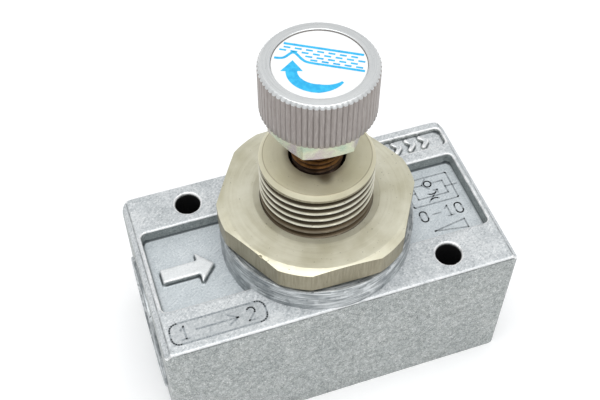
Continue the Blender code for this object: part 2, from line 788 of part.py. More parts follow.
def build_spring():
    """Compression spring: a coil with its last turn at each end closed up."""
    bottom = POPPET_DISC_TOP + SPRING_WIRE_R + 0.15 * MM
    top = SPRING_POCKET_TOP - SPRING_WIRE_R - 0.15 * MM
    per_turn = 13
    count = SPRING_TURNS * per_turn
    closed = 2.15 * SPRING_WIRE_R
    curve = bpy.data.curves.new("check_spring", "CURVE")
    curve.dimensions = "3D"
    curve.bevel_depth = SPRING_WIRE_R
    curve.bevel_resolution = 2
    curve.use_fill_caps = True
    spline = curve.splines.new("POLY")
    spline.points.add(count)
    for step in range(count + 1):
        turn = step / per_turn
        angle = 2.0 * math.pi * turn
        if turn < 1.0:
            height = bottom + closed * turn
        elif turn > SPRING_TURNS - 1.0:
            height = top - closed * (SPRING_TURNS - turn)
        else:
            share = (turn - 1.0) / (SPRING_TURNS - 2.0)
            height = bottom + closed + share * (top - bottom - 2.0 * closed)
        x = SPRING_MEAN_R * math.cos(angle)
        y = SPRING_MEAN_R * math.sin(angle)
        spline.points[step].co = (x, y, height - POPPET_DISC_TOP, 1.0)
    curve.materials.append(SPRING_STEEL)
    spring = bpy.data.objects.new("check_spring", curve)
    PARTS.objects.link(spring)
    spring.location.z = POPPET_DISC_TOP
    return spring


def hang(parent, children):
    """Parent pieces to an empty or a piece and keep them where they stand."""
    bpy.context.view_layer.update()
    for child in children:
        child.parent = parent
        child.matrix_parent_inverse = parent.matrix_world.inverted()


clear_scene()
PARTS = new_collection("flow_control_valve")
CUTTERS = new_collection("cutters")

ZINC = material("cast_zinc", (0.56, 0.58, 0.59), 0.46, 0.85)
CHAMPAGNE = material("champagne_anodised", (0.60, 0.56, 0.44), 0.34, 0.9)
CHAMPAGNE_NUT = material("champagne_anodised_nut", (0.64, 0.61, 0.49), 0.38, 0.9)
BRASS = material("spindle_brass", (0.62, 0.42, 0.17), 0.3, 1.0)
PLATED_STEEL = material("zinc_plated_steel", (0.68, 0.70, 0.63), 0.28, 1.0)
ALUMINIUM = material("knob_aluminium", (0.55, 0.54, 0.52), 0.42, 0.9)
SCREW_STEEL = material("screw_steel", (0.55, 0.55, 0.56), 0.35, 1.0)
LABEL = material("printed_label", (0.88, 0.91, 0.93), 0.35, 0.0)
PTFE = material("back_up_ring_ptfe", (0.85, 0.85, 0.83), 0.45, 0.0)
SEAT_BRASS = material("seat_brass", (0.64, 0.45, 0.19), 0.32, 1.0)
PLASTIC = material("acetal_poppet", (0.08, 0.08, 0.085), 0.5, 0.0)
RUBBER = material("bonnet_ring_rubber", (0.02, 0.02, 0.022), 0.6, 0.0)
RUBBER_DARK = material("spindle_ring_rubber", (0.018, 0.018, 0.02), 0.55, 0.0)
RUBBER_SEAL = material("poppet_seal_rubber", (0.03, 0.03, 0.03), 0.6, 0.0)
SPRING_STEEL = material("spring_steel", (0.60, 0.60, 0.60), 0.3, 1.0)

build_body()
build_bonnet()
build_panel_nut()
spindle_piece = build_spindle()
lock_nut_piece = build_lock_nut()
knob_piece = build_knob()
screw_piece = build_knob_screw()
label_piece = build_label()
build_spindle_rings()
build_seat_ring()
build_check_valve()

spindle_axis = bpy.data.objects.new("spindle_axis", None)
PARTS.objects.link(spindle_axis)
spindle_axis.location.z = KNOB_BOTTOM
hang(spindle_axis, [spindle_piece, lock_nut_piece, knob_piece, screw_piece, label_piece])
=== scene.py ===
"""One-way flow control valve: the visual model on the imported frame.

Meshes are built in millimetres and scaled to metres when they are finished. The frame's origin is
the middle of the body's underside, +X is the controlled flow direction and +Z is up the spindle.
"""

import math

import bmesh
import bpy
import numpy as np
from mathutils import Matrix, Vector, kdtree


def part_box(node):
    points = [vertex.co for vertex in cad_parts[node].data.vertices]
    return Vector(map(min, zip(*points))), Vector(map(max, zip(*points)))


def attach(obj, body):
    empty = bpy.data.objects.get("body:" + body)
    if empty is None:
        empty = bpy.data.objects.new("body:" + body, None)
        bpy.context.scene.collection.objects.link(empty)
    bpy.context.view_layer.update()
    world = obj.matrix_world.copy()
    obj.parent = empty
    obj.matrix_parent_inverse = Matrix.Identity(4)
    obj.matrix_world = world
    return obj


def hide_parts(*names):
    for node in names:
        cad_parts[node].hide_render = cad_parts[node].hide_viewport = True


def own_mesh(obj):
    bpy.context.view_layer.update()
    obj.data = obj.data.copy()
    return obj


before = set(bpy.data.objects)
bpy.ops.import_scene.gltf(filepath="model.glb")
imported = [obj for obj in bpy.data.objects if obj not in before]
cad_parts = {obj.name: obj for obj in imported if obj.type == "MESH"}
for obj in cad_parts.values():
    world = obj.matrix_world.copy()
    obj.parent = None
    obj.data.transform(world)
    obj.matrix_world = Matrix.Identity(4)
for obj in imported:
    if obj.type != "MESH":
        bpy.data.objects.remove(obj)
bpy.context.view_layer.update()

MM = 0.001
TAU = 2.0 * math.pi


def box_mm(node):
    """Lowest and highest corner of a CAD node in millimetres."""
    low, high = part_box(node)
    return Vector(low) / MM, Vector(high) / MM


_, BODY_HI = box_mm("valve_body")
_, BONNET_HI = box_mm("bonnet")
NUT_LO, NUT_HI = box_mm("panel_nut")
LOCK_LO, LOCK_HI = box_mm("lock_nut")
KNOB_LO, KNOB_HI = box_mm("adjusting_knob")
LABEL_LO, LABEL_HI = box_mm("knob_label")
SPRING_LO, SPRING_HI = box_mm("check_spring")

# Body, in millimetres; SLOT and PLATE are (x0, x1, y0, y1), INLET and OUTLET are (radius, height)
PORT_RING_OUT = 0.5
HALF_X = BODY_HI.x - PORT_RING_OUT
HALF_Y = BODY_HI.y
BOSS_TOP = BODY_HI.z
BOSS_HEIGHT = 4.6
BODY_TOP = BOSS_TOP - BOSS_HEIGHT
BOSS_R = 15.9
END_CHAMFER = 1.0
POCKET_X = 28.1
POCKET_Y = 8.0
POCKET_Z = BODY_TOP - 2.4
POCKET_CORNER = 0.9
SLOT = (13.0, 28.5, 10.4, 14.3)
SLOT_DEPTH = 1.0
PLATE = (-28.0, -12.6, -14.4, -10.6)
MOUNT_R = 2.15
MOUNT_HOLES = ((-18.9, 11.9), (18.9, -11.9))
PORT_Z = 14.0
PORT_RING_R = 11.5
PORT_DEPTH = 12.0
PORT_PITCH = 25.4 / 19.0
PORT_MAJOR_R, PORT_MINOR_R = 8.33, 7.48
WELL_R, WELL_FLOOR, CHAMBER_FLOOR = 12.1, 3.5, 4.8
AXIS_GAP = 0.02
INLET = (3.9, 17.55)
OUTLET = (2.9, 7.8)
PASSAGE_REACH = 18.6
VOXEL = 0.2
BODY_TRIANGLES = 190000
# rounding off, in millimetres, that counts as a full step of the rounding depth
FULL_ROUNDING = 0.12


# ---------------------------------------------------------------- mesh tools

def mesh_object(name, verts, faces):
    """A mesh object made from vertex and face lists in millimetres."""
    mesh = bpy.data.meshes.new(name)
    mesh.from_pydata([tuple(map(float, v)) for v in verts], [], faces)
    mesh.update()
    obj = bpy.data.objects.new(name, mesh)
    bpy.context.scene.collection.objects.link(obj)
    return obj


def polar_solid(name, angles, rings, closed=True):
    """A solid from rings of (radius, height), each a number or one value per angle.

    The rings run down the outside and, when closed, back up the bore. An open row of rings is capped
    on the axis at both ends.
    """
    n = len(angles)
    cosines, sines = np.cos(angles), np.sin(angles)
    verts = np.concatenate([
        np.stack([cosines * r, sines * r, np.zeros(n) + z], axis=1) for r, z in rings])
    nxt = np.roll(np.arange(n), -1)
    faces = []
    count = len(rings)
    for i in range(count if closed else count - 1):
        a, b = i * n, ((i + 1) % count) * n
        faces += [(a + j, b + j, b + k, a + k) for j, k in enumerate(nxt)]
    verts = list(verts)
    if not closed:
        top, bottom = len(verts), len(verts) + 1
        verts.append((0.0, 0.0, float(np.mean(rings[0][1]))))
        verts.append((0.0, 0.0, float(np.mean(rings[-1][1]))))
        last = (count - 1) * n
        faces += [(top, j, k) for j, k in enumerate(nxt)]
        faces += [(last + j, bottom, last + k) for j, k in enumerate(nxt)]
    return mesh_object(name, verts, faces)


def rounded(points, closed=True, steps=3):
    """Profile points (radius, height, fillet): each corner becomes a short arc of its own fillet size."""
    out = []
    n = len(points)
    for i, (r, z, fillet) in enumerate(points):
        here = Vector((r, z))
        if fillet == 0 or (not closed and i in (0, n - 1)):
            out.append((r, z))
            continue
        before = Vector(points[i - 1][:2]) - here
        after = Vector(points[(i + 1) % n][:2]) - here
        reach = min(fillet, 0.45 * before.length, 0.45 * after.length)
        start, end = here + before.normalized() * reach, here + after.normalized() * reach
        for s in range(steps + 1):
            t = s / steps
            p = start * (1 - t) ** 2 + here * (2 * t * (1 - t)) + end * t ** 2
            out.append((p.x, p.y))
    return out


def ease(value):
    """Share kept between 0 and 1."""
    return min(1.0, max(0.0, value))


def even_angles(n):
    return np.arange(n) * TAU / n


def prism(outline, low, high):
    """Vertices and faces of an upright prism over an anticlockwise outline."""
    n = len(outline)
    verts = [(x, y, low) for x, y in outline] + [(x, y, high) for x, y in outline]
    faces = [tuple(range(n - 1, -1, -1)), tuple(range(n, 2 * n))]
    faces += [(i, (i + 1) % n, n + (i + 1) % n, n + i) for i in range(n)]
    return verts, faces


def rounded_rect(x0, x1, y0, y1, radii, steps=5):
    """Anticlockwise outline; radii start at the corner x0, y0."""
    out = []
    corners = ((x0, y0, 180), (x1, y0, 270), (x1, y1, 0), (x0, y1, 90))
    for (x, y, start), r in zip(corners, radii):
        cx = x + r if x == x0 else x - r
        cy = y + r if y == y0 else y - r
        for s in range(steps + 1):
            a = math.radians(start + 90 * s / steps)
            out.append((cx + r * math.cos(a), cy + r * math.sin(a)))
    return out


def disc(cx, cy, r, n=48):
    return [(cx + r * math.cos(TAU * i / n), cy + r * math.sin(TAU * i / n)) for i in range(n)]


def stroke(points, width):
    """Outlines of the straight pieces of a polyline, each with round ends."""
    pieces = []
    for (ax, ay), (bx, by) in zip(points, points[1:]):
        turn = math.atan2(by - ay, bx - ax)
        ends = [(bx, by, turn - math.pi / 2), (ax, ay, turn + math.pi / 2)]
        out = []
        for x, y, start in ends:
            for s in range(7):
                a = start + math.pi * s / 6
                out.append((x + width / 2 * math.cos(a), y + width / 2 * math.sin(a)))
        pieces.append(out)
    return pieces


def arc(cx, cy, r, start, end, n=16):
    return [(cx + r * math.cos(math.radians(start + (end - start) * i / n)),
             cy + r * math.sin(math.radians(start + (end - start) * i / n))) for i in range(n + 1)]


def solids(name, parts):
    """One object holding several closed solids."""
    verts, faces = [], []
    for v, f in parts:
        base = len(verts)
        verts += v
        faces += [tuple(base + i for i in face) for face in f]
    return mesh_object(name, verts, faces)


def along_x(part, z):
    """Turns an upright solid so that its axis runs along +X at height z."""
    verts, faces = part
    return [(h, x, y + z) for x, y, h in verts], faces


def along_y(part):
    """Turns an upright solid, drawn in x and z, so that its axis runs along Y."""
    verts, faces = part
    return [(x, -h, z) for x, z, h in verts], faces


def apply_modifiers(obj):
    """Replaces the mesh with its modified mesh and drops the modifiers."""
    graph = bpy.context.evaluated_depsgraph_get()
    mesh = bpy.data.meshes.new_from_object(obj.evaluated_get(graph))
    old, obj.data = obj.data, mesh
    obj.modifiers.clear()
    bpy.data.meshes.remove(old)
    return obj


def cut(obj, cutter):
    """Cuts one object out of another and removes the cutter."""
    mod = obj.modifiers.new("cut", "BOOLEAN")
    mod.operation, mod.solver, mod.object = "DIFFERENCE", "EXACT", cutter
    apply_modifiers(obj)
    mesh = cutter.data
    bpy.data.objects.remove(cutter)
    bpy.data.meshes.remove(mesh)
    return obj


def place(obj, body, material, replaced=(), sharp=35.0, bevel=0.0):
    """Scales the finished mesh to metres, shades it and hangs it on its body."""
    obj.data.transform(Matrix.Scale(MM, 4))
    obj.data.name = obj.name
    obj.data.materials.clear()
    obj.data.materials.append(material)
    if bevel:
        mod = obj.modifiers.new("edges", "BEVEL")
        mod.width, mod.segments, mod.limit_method = bevel * MM, 2, "ANGLE"
        mod.angle_limit = math.radians(sharp)
        mod.harden_normals = True
        apply_modifiers(obj)
    obj.data.shade_smooth()
    obj.data.set_sharp_from_angle(angle=math.radians(sharp))
    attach(obj, body)
    if replaced:
        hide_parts(*replaced)
    return obj


def thread_cut(theta, z, pitch, origin, flat=0.14):
    """Depth share, 0 at the crest and 1 at the root, of a right-hand V thread."""
    phase = ((z - origin) / pitch - theta / TAU) % 1.0
    away = np.abs(phase - 0.5) * 2.0
    raw = np.clip((1.0 - away - flat * 0.5) / (1.0 - flat - 0.2), 0.0, 1.0)
    return raw * raw * (3 - 2 * raw) * 0.35 + raw * 0.65


# ---------------------------------------------------------------- materials

def srgb(r, g, b):
    """Linear colour from 8-bit display values."""
    out = []
    for c in (r, g, b):
        c /= 255.0
        out.append(c / 12.92 if c <= 0.04045 else ((c + 0.055) / 1.055) ** 2.4)
    return (*out, 1.0)


class Finish:
    """A Principled material with helpers for its node tree. Vectors are in millimetres."""

    def __init__(self, name, metallic, specular=0.5, coat=0.0, coat_roughness=0.1):
        self.material = bpy.data.materials.new(name)
        self.material.use_nodes = True
        self.tree = self.material.node_tree
        self.shader = self.tree.nodes["Principled BSDF"]
        self.shader.inputs["Metallic"].default_value = metallic
        self.shader.inputs["Specular IOR Level"].default_value = specular
        self.shader.inputs["Coat Weight"].default_value = coat
        self.shader.inputs["Coat Roughness"].default_value = coat_roughness
        coords = self.tree.nodes.new("ShaderNodeTexCoord")
        self.mm = self.vector("SCALE", coords.outputs["Object"], scale=1.0 / MM)
        self.normal = self.tree.nodes.new("ShaderNodeNewGeometry").outputs["True Normal"]
        self.height = None

    def put(self, socket, value):
        if isinstance(value, bpy.types.NodeSocket):
            self.tree.links.new(value, socket)
        else:
            socket.default_value = value

    def node(self, kind, inputs, out=0, **props):
        made = self.tree.nodes.new(kind)
        for key, value in props.items():
            setattr(made, key, value)
        for key, value in inputs.items():
            self.put(made.inputs[key], value)
        return made.outputs[out]

    def vector(self, operation, a, b=(0, 0, 0), scale=1.0, out=0):
        made = self.tree.nodes.new("ShaderNodeVectorMath")
        made.operation = operation
        self.put(made.inputs[0], a)
        if operation == "SCALE":
            self.put(made.inputs["Scale"], scale)
        elif operation != "LENGTH":
            self.put(made.inputs[1], b)
        return made.outputs[out]

    def math(self, operation, a, b=0.0):
        return self.node("ShaderNodeMath", {0: a, 1: b}, operation=operation)

    def times(self, first, *others):
        for other in others:
            first = self.math("MULTIPLY", first, other)
        return first

    def away(self, value, middle=0.0):
        """Distance of a value from a middle one."""
        return self.math("ABSOLUTE", self.math("SUBTRACT", value, middle))

    def combine(self, x, y, z=0.0):
        return self.node("ShaderNodeCombineXYZ", {0: x, 1: y, 2: z})

    def axes(self, source=None):
        made = self.tree.nodes.new("ShaderNodeSeparateXYZ")
        self.put(made.inputs[0], source or self.mm)
        return made.outputs

    def noise(self, size, vector=None, detail=3.0, rough=0.55):
        """Noise whose grain is about size millimetres."""
        return self.node("ShaderNodeTexNoise", {
            "Vector": vector or self.mm, "Scale": 1.0 / size, "Detail": detail, "Roughness": rough})

    def band(self, value, low, high, to_low=0.0, to_high=1.0):
        """Clamped linear map, smooth at both ends."""
        return self.node("ShaderNodeMapRange", {
            "Value": value, "From Min": low, "From Max": high, "To Min": to_low, "To Max": to_high},
            interpolation_type="SMOOTHSTEP")

    def mix(self, share, a, b, mode="MIX"):
        made = self.tree.nodes.new("ShaderNodeMix")
        made.data_type, made.blend_type, made.clamp_factor = "RGBA", mode, True
        self.put(made.inputs[0], share)
        self.put(made.inputs[6], a)
        self.put(made.inputs[7], b)
        return made.outputs[2]

    def ramp(self, value, *stops):
        """Colour ramp; a stop is its position and its 8-bit display values."""
        made = self.tree.nodes.new("ShaderNodeValToRGB")
        elements = made.color_ramp.elements
        while len(elements) < len(stops):
            elements.new(0.5)
        for element, (at, *tone) in zip(elements, stops):
            element.position, element.color = at, srgb(*tone)
        self.put(made.inputs[0], value)
        return made.outputs[0]

    def radius(self):
        x, y, _ = self.axes()
        return self.math("SQRT", self.math("ADD", self.times(x, x), self.times(y, y)))

    def lathe(self, around, across):
        """Coordinates stretched round the +Z axis: tool marks follow the turning."""
        x, y, z = self.axes()
        r = self.radius()
        # faces are crossed by their radius and sides by their height
        depth = self.math("ADD", self.times(r, 1.31), z)
        return self.combine(self.math("DIVIDE", self.times(x, around), r),
                            self.math("DIVIDE", self.times(y, around), r), self.times(depth, across))

    def face_port(self):
        """Takes the port axis as the axis of turning."""
        x, y, z = self.axes()
        self.mm = self.combine(y, self.math("SUBTRACT", z, PORT_Z), x)

    def stretched(self, x, y, z):
        return self.vector("MULTIPLY", self.mm, (x, y, z))

    def bump(self, height, depth, strength=1.0):
        """Adds relief; depth is the height in millimetres of a full step of the input."""
        made = self.tree.nodes.new("ShaderNodeBump")
        made.inputs["Strength"].default_value = strength
        made.inputs["Distance"].default_value = depth * MM
        self.put(made.inputs["Height"], height)
        if self.height is not None:
            self.put(made.inputs["Normal"], self.height)
        self.height = made.outputs[0]

    def done(self, colour, roughness):
        self.put(self.shader.inputs["Base Color"], colour)
        self.put(self.shader.inputs["Roughness"], roughness)
        if self.height is not None:
            self.put(self.shader.inputs["Normal"], self.height)
        return self.material


def cast_zinc():
    """Tumbled die casting: mottled grey, fine bright and dark specks, rubbed bright edges whitened further as
    a painted highlight, and painted shade on the pocket walls, in the hollows and down the screw holes.
    """
    f = Finish("cast_zinc", metallic=0.35, specular=0.4)
    x, y, z = f.axes()
    _, _, up = f.axes(f.normal)
    top, side = f.band(up, 0.8, 0.95), f.band(up, 0.75, 0.35)
    blotch = f.noise(7.0, detail=4.0, rough=0.6)
    cloud = f.noise(1.8, detail=4.0, rough=0.6)
    grain = f.noise(0.32, detail=3.0, rough=0.75)
    specks = f.noise(0.5, detail=2.0, rough=0.6)
    colour = f.ramp(blotch, (0.3, 192, 197, 199), (0.52, 205, 209, 211), (0.72, 216, 219, 220))
    colour = f.mix(f.band(cloud, 0.5, 0.7, 0.0, 0.35), colour, srgb(228, 231, 232))
    colour = f.mix(f.band(cloud, 0.48, 0.28, 0.0, 0.4), colour, srgb(166, 172, 175))
    colour = f.mix(f.band(grain, 0.52, 0.66, 0.0, 0.7), colour, srgb(246, 247, 247))
    colour = f.mix(f.band(grain, 0.47, 0.34, 0.0, 0.6), colour, srgb(138, 144, 148))
    colour = f.mix(f.band(specks, 0.3, 0.2, 0.0, 0.7), colour, srgb(104, 109, 112))
    colour = gritty_shaded_sides(f, colour, side)
    inside = f.times(f.math("LESS_THAN", f.away(y), POCKET_Y + 0.25),
                     f.math("LESS_THAN", f.away(x), POCKET_X + 0.25),
                     f.math("GREATER_THAN", z, POCKET_Z - 0.5))
    floor = f.times(inside, f.band(z, POCKET_Z + 0.45, POCKET_Z + 0.2))
    colour = f.mix(f.times(floor, 0.35), colour, srgb(204, 216, 222))
    # painted shade: the pocket walls are darkened by a mask on the side-facing faces
    colour = f.mix(f.times(inside, side, 0.4), colour, srgb(116, 126, 128))
    colour = scratches(f, colour, top)
    colour = edge_lines(f, colour, cloud)
    plate_x, plate_y = (PLATE[0] + PLATE[1]) / 2, (PLATE[2] + PLATE[3]) / 2
    plate = f.times(f.band(f.away(x, plate_x), 8.2, 7.4), f.band(f.away(y, plate_y), 2.1, 1.7))
    colour = f.mix(f.times(plate, 0.3), colour, srgb(142, 149, 152))
    rounding_depth = f.node("ShaderNodeAttribute", {}, out=2, attribute_name="rounding_depth")
    # rubbed edges: real wear, whitened further as a painted highlight
    worn_and_glint = f.times(f.band(rounding_depth, 0.12, 0.21), f.band(cloud, 0.34, 0.56, 0.45, 1.0))
    colour = f.mix(f.times(worn_and_glint, 0.95), colour, srgb(255, 255, 255))
    # painted shade in the hollows, where the rounding depth is negative
    colour = f.mix(f.band(rounding_depth, -0.05, -0.2, 0.0, 0.92), colour, srgb(70, 76, 79))
    arrow_top = f.times(inside, top, f.band(z, POCKET_Z + 0.5, POCKET_Z + 0.75),
                        f.band(z, BODY_TOP - 0.3, BODY_TOP - 0.6))
    colour = f.mix(f.times(arrow_top, 0.65), colour, srgb(244, 246, 246))
    # painted shade: the screw holes darken with depth
    for hole in MOUNT_HOLES:
        off = f.vector("DISTANCE", f.combine(x, y), (*hole, 0.0), out=1)
        screw_hole_shade = f.times(f.math("LESS_THAN", off, MOUNT_R + 0.12), f.band(z, BODY_TOP - 0.2, BODY_TOP - 0.7))
        colour = f.mix(screw_hole_shade, colour, srgb(42, 42, 43))
    f.bump(cloud, 0.06, 0.6)
    f.bump(grain, 0.05, 0.9)
    f.bump(f.band(specks, 0.3, 0.2, 1.0, 0.0), 0.03, 0.6)
    rough = f.band(cloud, 0.3, 0.7, 0.42, 0.58)
    return f.done(colour, f.math("SUBTRACT", rough, f.times(worn_and_glint, 0.14)))


def gritty_shaded_sides(f, colour, side):
    """The sides of the casting are blotchier and grittier than its top, and darkened overall as painted
    shade.
    """
    stain = f.noise(0.9, f.stretched(1.0, 1.0, 0.8), detail=5.0, rough=0.75)
    grit = f.noise(0.24, detail=2.0, rough=0.8)
    stain_and_shade = f.ramp(stain, (0.36, 182, 185, 181), (0.5, 208, 210, 207), (0.62, 232, 233, 230))
    # painted shade: the sides are multiplied down by a blotchy ramp that never reaches white
    colour = f.mix(side, colour, f.mix(1.0, colour, stain_and_shade, "MULTIPLY"))
    colour = f.mix(f.times(side, f.band(grit, 0.46, 0.3, 0.0, 0.75)), colour, srgb(96, 100, 98))
    return f.mix(f.times(side, f.band(grit, 0.56, 0.7, 0.0, 0.75)), colour, srgb(244, 244, 241))


def scratches(f, colour, top):
    """Long fine slanting scratches on the top of the casting."""
    along = f.vector("DOT_PRODUCT", f.mm, (0.82, 0.57, 0.0), out=1)
    across = f.vector("DOT_PRODUCT", f.mm, (-0.57, 0.82, 0.0), out=1)
    scratch = f.noise(1.0, f.combine(f.times(along, 0.22), f.times(across, 4.5)), detail=3.0, rough=0.6)
    colour = f.mix(f.times(top, f.band(scratch, 0.58, 0.7, 0.0, 0.5)), colour, srgb(238, 241, 241))
    return f.mix(f.times(top, f.band(scratch, 0.4, 0.3, 0.0, 0.4)), colour, srgb(150, 156, 160))


def edge_lines(f, colour, cloud):
    """Dark broken lines where the top turns down into its end chamfers and its sides."""
    x, y, z = f.axes()
    chamfer = f.times(f.math("GREATER_THAN", z, BODY_TOP - 0.45),
                      f.band(f.away(f.away(x), HALF_X - END_CHAMFER), 0.2, 0.06))
    edge = f.times(f.math("GREATER_THAN", f.away(y), HALF_Y - 0.3),
                   f.band(f.away(z, BODY_TOP - 0.42), 0.16, 0.05))
    line = f.times(f.math("MAXIMUM", chamfer, edge), f.band(cloud, 0.35, 0.6, 0.2, 0.75))
    return f.mix(line, colour, srgb(88, 94, 96))


def mark_line_shade():
    """Dark line of the cast marks, painted as the shade of their lines, uneven along its length."""
    f = Finish("mark_line", metallic=0.3, specular=0.3)
    grain = f.noise(0.35, detail=4.0, rough=0.7)
    cloud = f.noise(1.6, detail=3.0)
    colour = f.ramp(grain, (0.32, 124, 131, 135), (0.5, 154, 160, 164), (0.66, 190, 195, 197))
    colour = f.mix(f.band(cloud, 0.52, 0.72, 0.0, 0.6), colour, srgb(180, 185, 188))
    f.bump(grain, 0.04, 0.8)
    return f.done(colour, f.band(cloud, 0.3, 0.7, 0.5, 0.66))


def turned_zinc(name, port=False):
    """Machined zinc: the cut face of the boss and the port rings."""
    f = Finish(name, metallic=0.55, specular=0.5)
    if port:
        f.face_port()
    streak = f.noise(1.0, f.lathe(3.0, 2.4), detail=4.0, rough=0.7)
    fine = f.noise(1.0, f.lathe(7.0, 9.0), detail=2.0, rough=0.6)
    cloud = f.noise(2.4, detail=4.0)
    pits = f.noise(0.45, detail=2.0)
    colour = f.ramp(streak, (0.34, 104, 110, 112), (0.5, 164, 169, 171), (0.66, 226, 229, 230))
    colour = f.mix(f.band(fine, 0.52, 0.68, 0.0, 0.4), colour, srgb(238, 241, 242))
    colour = f.mix(f.band(fine, 0.47, 0.34, 0.0, 0.4), colour, srgb(104, 110, 113))
    colour = f.mix(f.band(cloud, 0.54, 0.68, 0.0, 0.5), colour, srgb(232, 236, 237))
    colour = f.mix(f.band(cloud, 0.48, 0.32, 0.0, 0.6), colour, srgb(112, 119, 123))
    colour = f.mix(f.band(pits, 0.34, 0.26, 0.0, 0.85), colour, srgb(80, 86, 90))
    f.bump(streak, 0.012, 0.6)
    f.bump(fine, 0.008, 0.6)
    f.bump(f.band(pits, 0.34, 0.26, 1.0, 0.0), 0.04, 0.7)
    return f.done(colour, f.band(streak, 0.3, 0.7, 0.34, 0.5))


def anodised(name, threaded=False):
    """Champagne anodised aluminium, turned faces and sawn flats; side faces and thread roots darkened as
    painted shade.
    """
    f = Finish(name, metallic=0.45, specular=0.5)
    rings = f.noise(1.0, f.lathe(1.2, 1.5), detail=2.0, rough=0.5)
    fine = f.noise(0.2, detail=2.0)
    cloud = f.noise(4.5, detail=4.0)
    flats = f.noise(1.0, f.stretched(2.6, 2.6, 0.22), detail=4.0, rough=0.7)
    dots = f.noise(0.33, detail=1.0)
    side = f.band(f.axes(f.normal)[2], 0.5, 0.2)
    colour = f.ramp(cloud, (0.3, 205, 200, 173), (0.52, 217, 213, 190), (0.72, 227, 224, 204))
    colour = f.mix(f.band(rings, 0.52, 0.66, 0.0, 0.16), colour, srgb(244, 241, 224))
    colour = f.mix(f.band(rings, 0.46, 0.32, 0.0, 0.14), colour, srgb(186, 178, 150))
    # painted shade: side faces are darkened towards brown, streaked along the sawn grain
    colour = f.mix(f.times(side, f.band(flats, 0.3, 0.7, 0.74, 0.92)), colour, srgb(120, 112, 88))
    colour = f.mix(f.band(dots, 0.29, 0.2, 0.0, 0.8), colour, srgb(96, 84, 62))
    if threaded:
        colour = used_thread(f, colour, cloud)
        f.bump(f.noise(1.0, f.lathe(5.0, 9.0), detail=3.0), 0.01, 0.5)
    f.bump(rings, 0.01, 0.2)
    f.bump(fine, 0.006, 0.5)
    f.bump(f.times(side, flats), 0.012, 0.6)
    return f.done(colour, f.band(cloud, 0.3, 0.7, 0.34, 0.46))


def used_thread(f, colour, cloud):
    """The bonnet's warmer top face, painted shade in the thread roots, a painted highlight on the crests, and
    painted shade and a painted dark reflection round the spindle.
    """
    top, z, r = BONNET_HI.z, f.axes()[2], f.radius()
    colour = f.mix(f.band(z, top - 0.7, top - 0.5, 0.0, 0.55), colour, srgb(232, 225, 192))
    below = f.math("LESS_THAN", z, top - 1.1)
    # painted shade in the thread roots
    thread_root_shade = f.times(below, f.band(r, BONNET_R - 0.08, BONNET_R - 0.36, 0.0, 0.95))
    colour = f.mix(thread_root_shade, colour, srgb(66, 52, 28))
    # painted highlight on the thread crests
    crest_highlight = f.times(below, f.band(r, BONNET_R - 0.14, BONNET_R - 0.03, 0.0, 0.65))
    colour = f.mix(crest_highlight, colour, srgb(250, 247, 234))
    # painted shade where the spindle comes out, a painted dark reflection in front of the hole, and painted
    # shade low on the thread by the nut
    film = f.times(f.band(r, 5.7, 4.4), f.band(cloud, 0.3, 0.6, 0.2, 0.7))
    colour = f.mix(film, colour, srgb(96, 76, 52))
    spindle_reflection = f.vector("DISTANCE", f.mm, (-0.5, -5.1, top), out=1)
    colour = f.mix(f.band(spindle_reflection, 1.7, 0.3, 0.0, 0.7), colour, srgb(84, 64, 38))
    colour = f.mix(f.band(z, 39.9, 39.1, 0.0, 0.85), colour, srgb(88, 72, 48))
    # brown line where the face breaks into its chamfer
    line = f.times(f.band(f.away(r, BONNET_FACE_R - 0.02), 0.11, 0.03), f.band(z, top - 0.3, top - 0.1))
    return f.mix(f.times(line, 0.5), colour, srgb(122, 104, 72))


def plated_steel():
    """Zinc plated steel with the faint green and pink of its passivation."""
    f = Finish("plated_steel", metallic=0.8, coat=0.15)
    hue = f.noise(3.4, detail=3.0, rough=0.5)
    scuff = f.noise(0.5, f.stretched(1.0, 1.0, 2.4), detail=4.0, rough=0.7)
    colour = f.ramp(hue, (0.3, 172, 190, 168), (0.45, 200, 204, 178),
                    (0.58, 186, 174, 172), (0.72, 176, 186, 196))
    colour = f.mix(f.band(scuff, 0.55, 0.72, 0.0, 0.5), colour, srgb(238, 238, 232))
    colour = f.mix(f.band(scuff, 0.42, 0.28, 0.0, 0.5), colour, srgb(138, 136, 132))
    f.bump(scuff, 0.015, 0.6)
    return f.done(colour, f.band(scuff, 0.3, 0.7, 0.24, 0.4))


def dark_brass():
    """Oiled brass thread: amber crests, with painted shade in the roots and where the spindle goes into the
    bonnet.
    """
    f = Finish("oiled_brass", metallic=0.85, coat=0.25, coat_roughness=0.2)
    marks = f.noise(1.0, f.lathe(2.0, 9.0), detail=4.0, rough=0.7)
    cloud = f.noise(1.3, detail=3.0)
    colour = f.ramp(cloud, (0.3, 88, 56, 22), (0.55, 116, 78, 34), (0.75, 146, 104, 52))
    colour = f.mix(f.band(marks, 0.5, 0.7, 0.0, 0.4), colour, srgb(168, 124, 66))
    # painted shade in the thread roots
    colour = f.mix(f.band(f.radius(), 3.86, 3.5, 0.0, 0.85), colour, srgb(40, 22, 8))
    # painted shade where the spindle goes into the bonnet
    bore_gap_shade = f.band(f.axes()[2], BONNET_HI.z + 1.0, BONNET_HI.z - 0.1, 0.0, 0.9)
    colour = f.mix(bore_gap_shade, colour, srgb(34, 20, 8))
    f.bump(marks, 0.012, 0.6)
    return f.done(colour, f.band(marks, 0.3, 0.7, 0.26, 0.42))


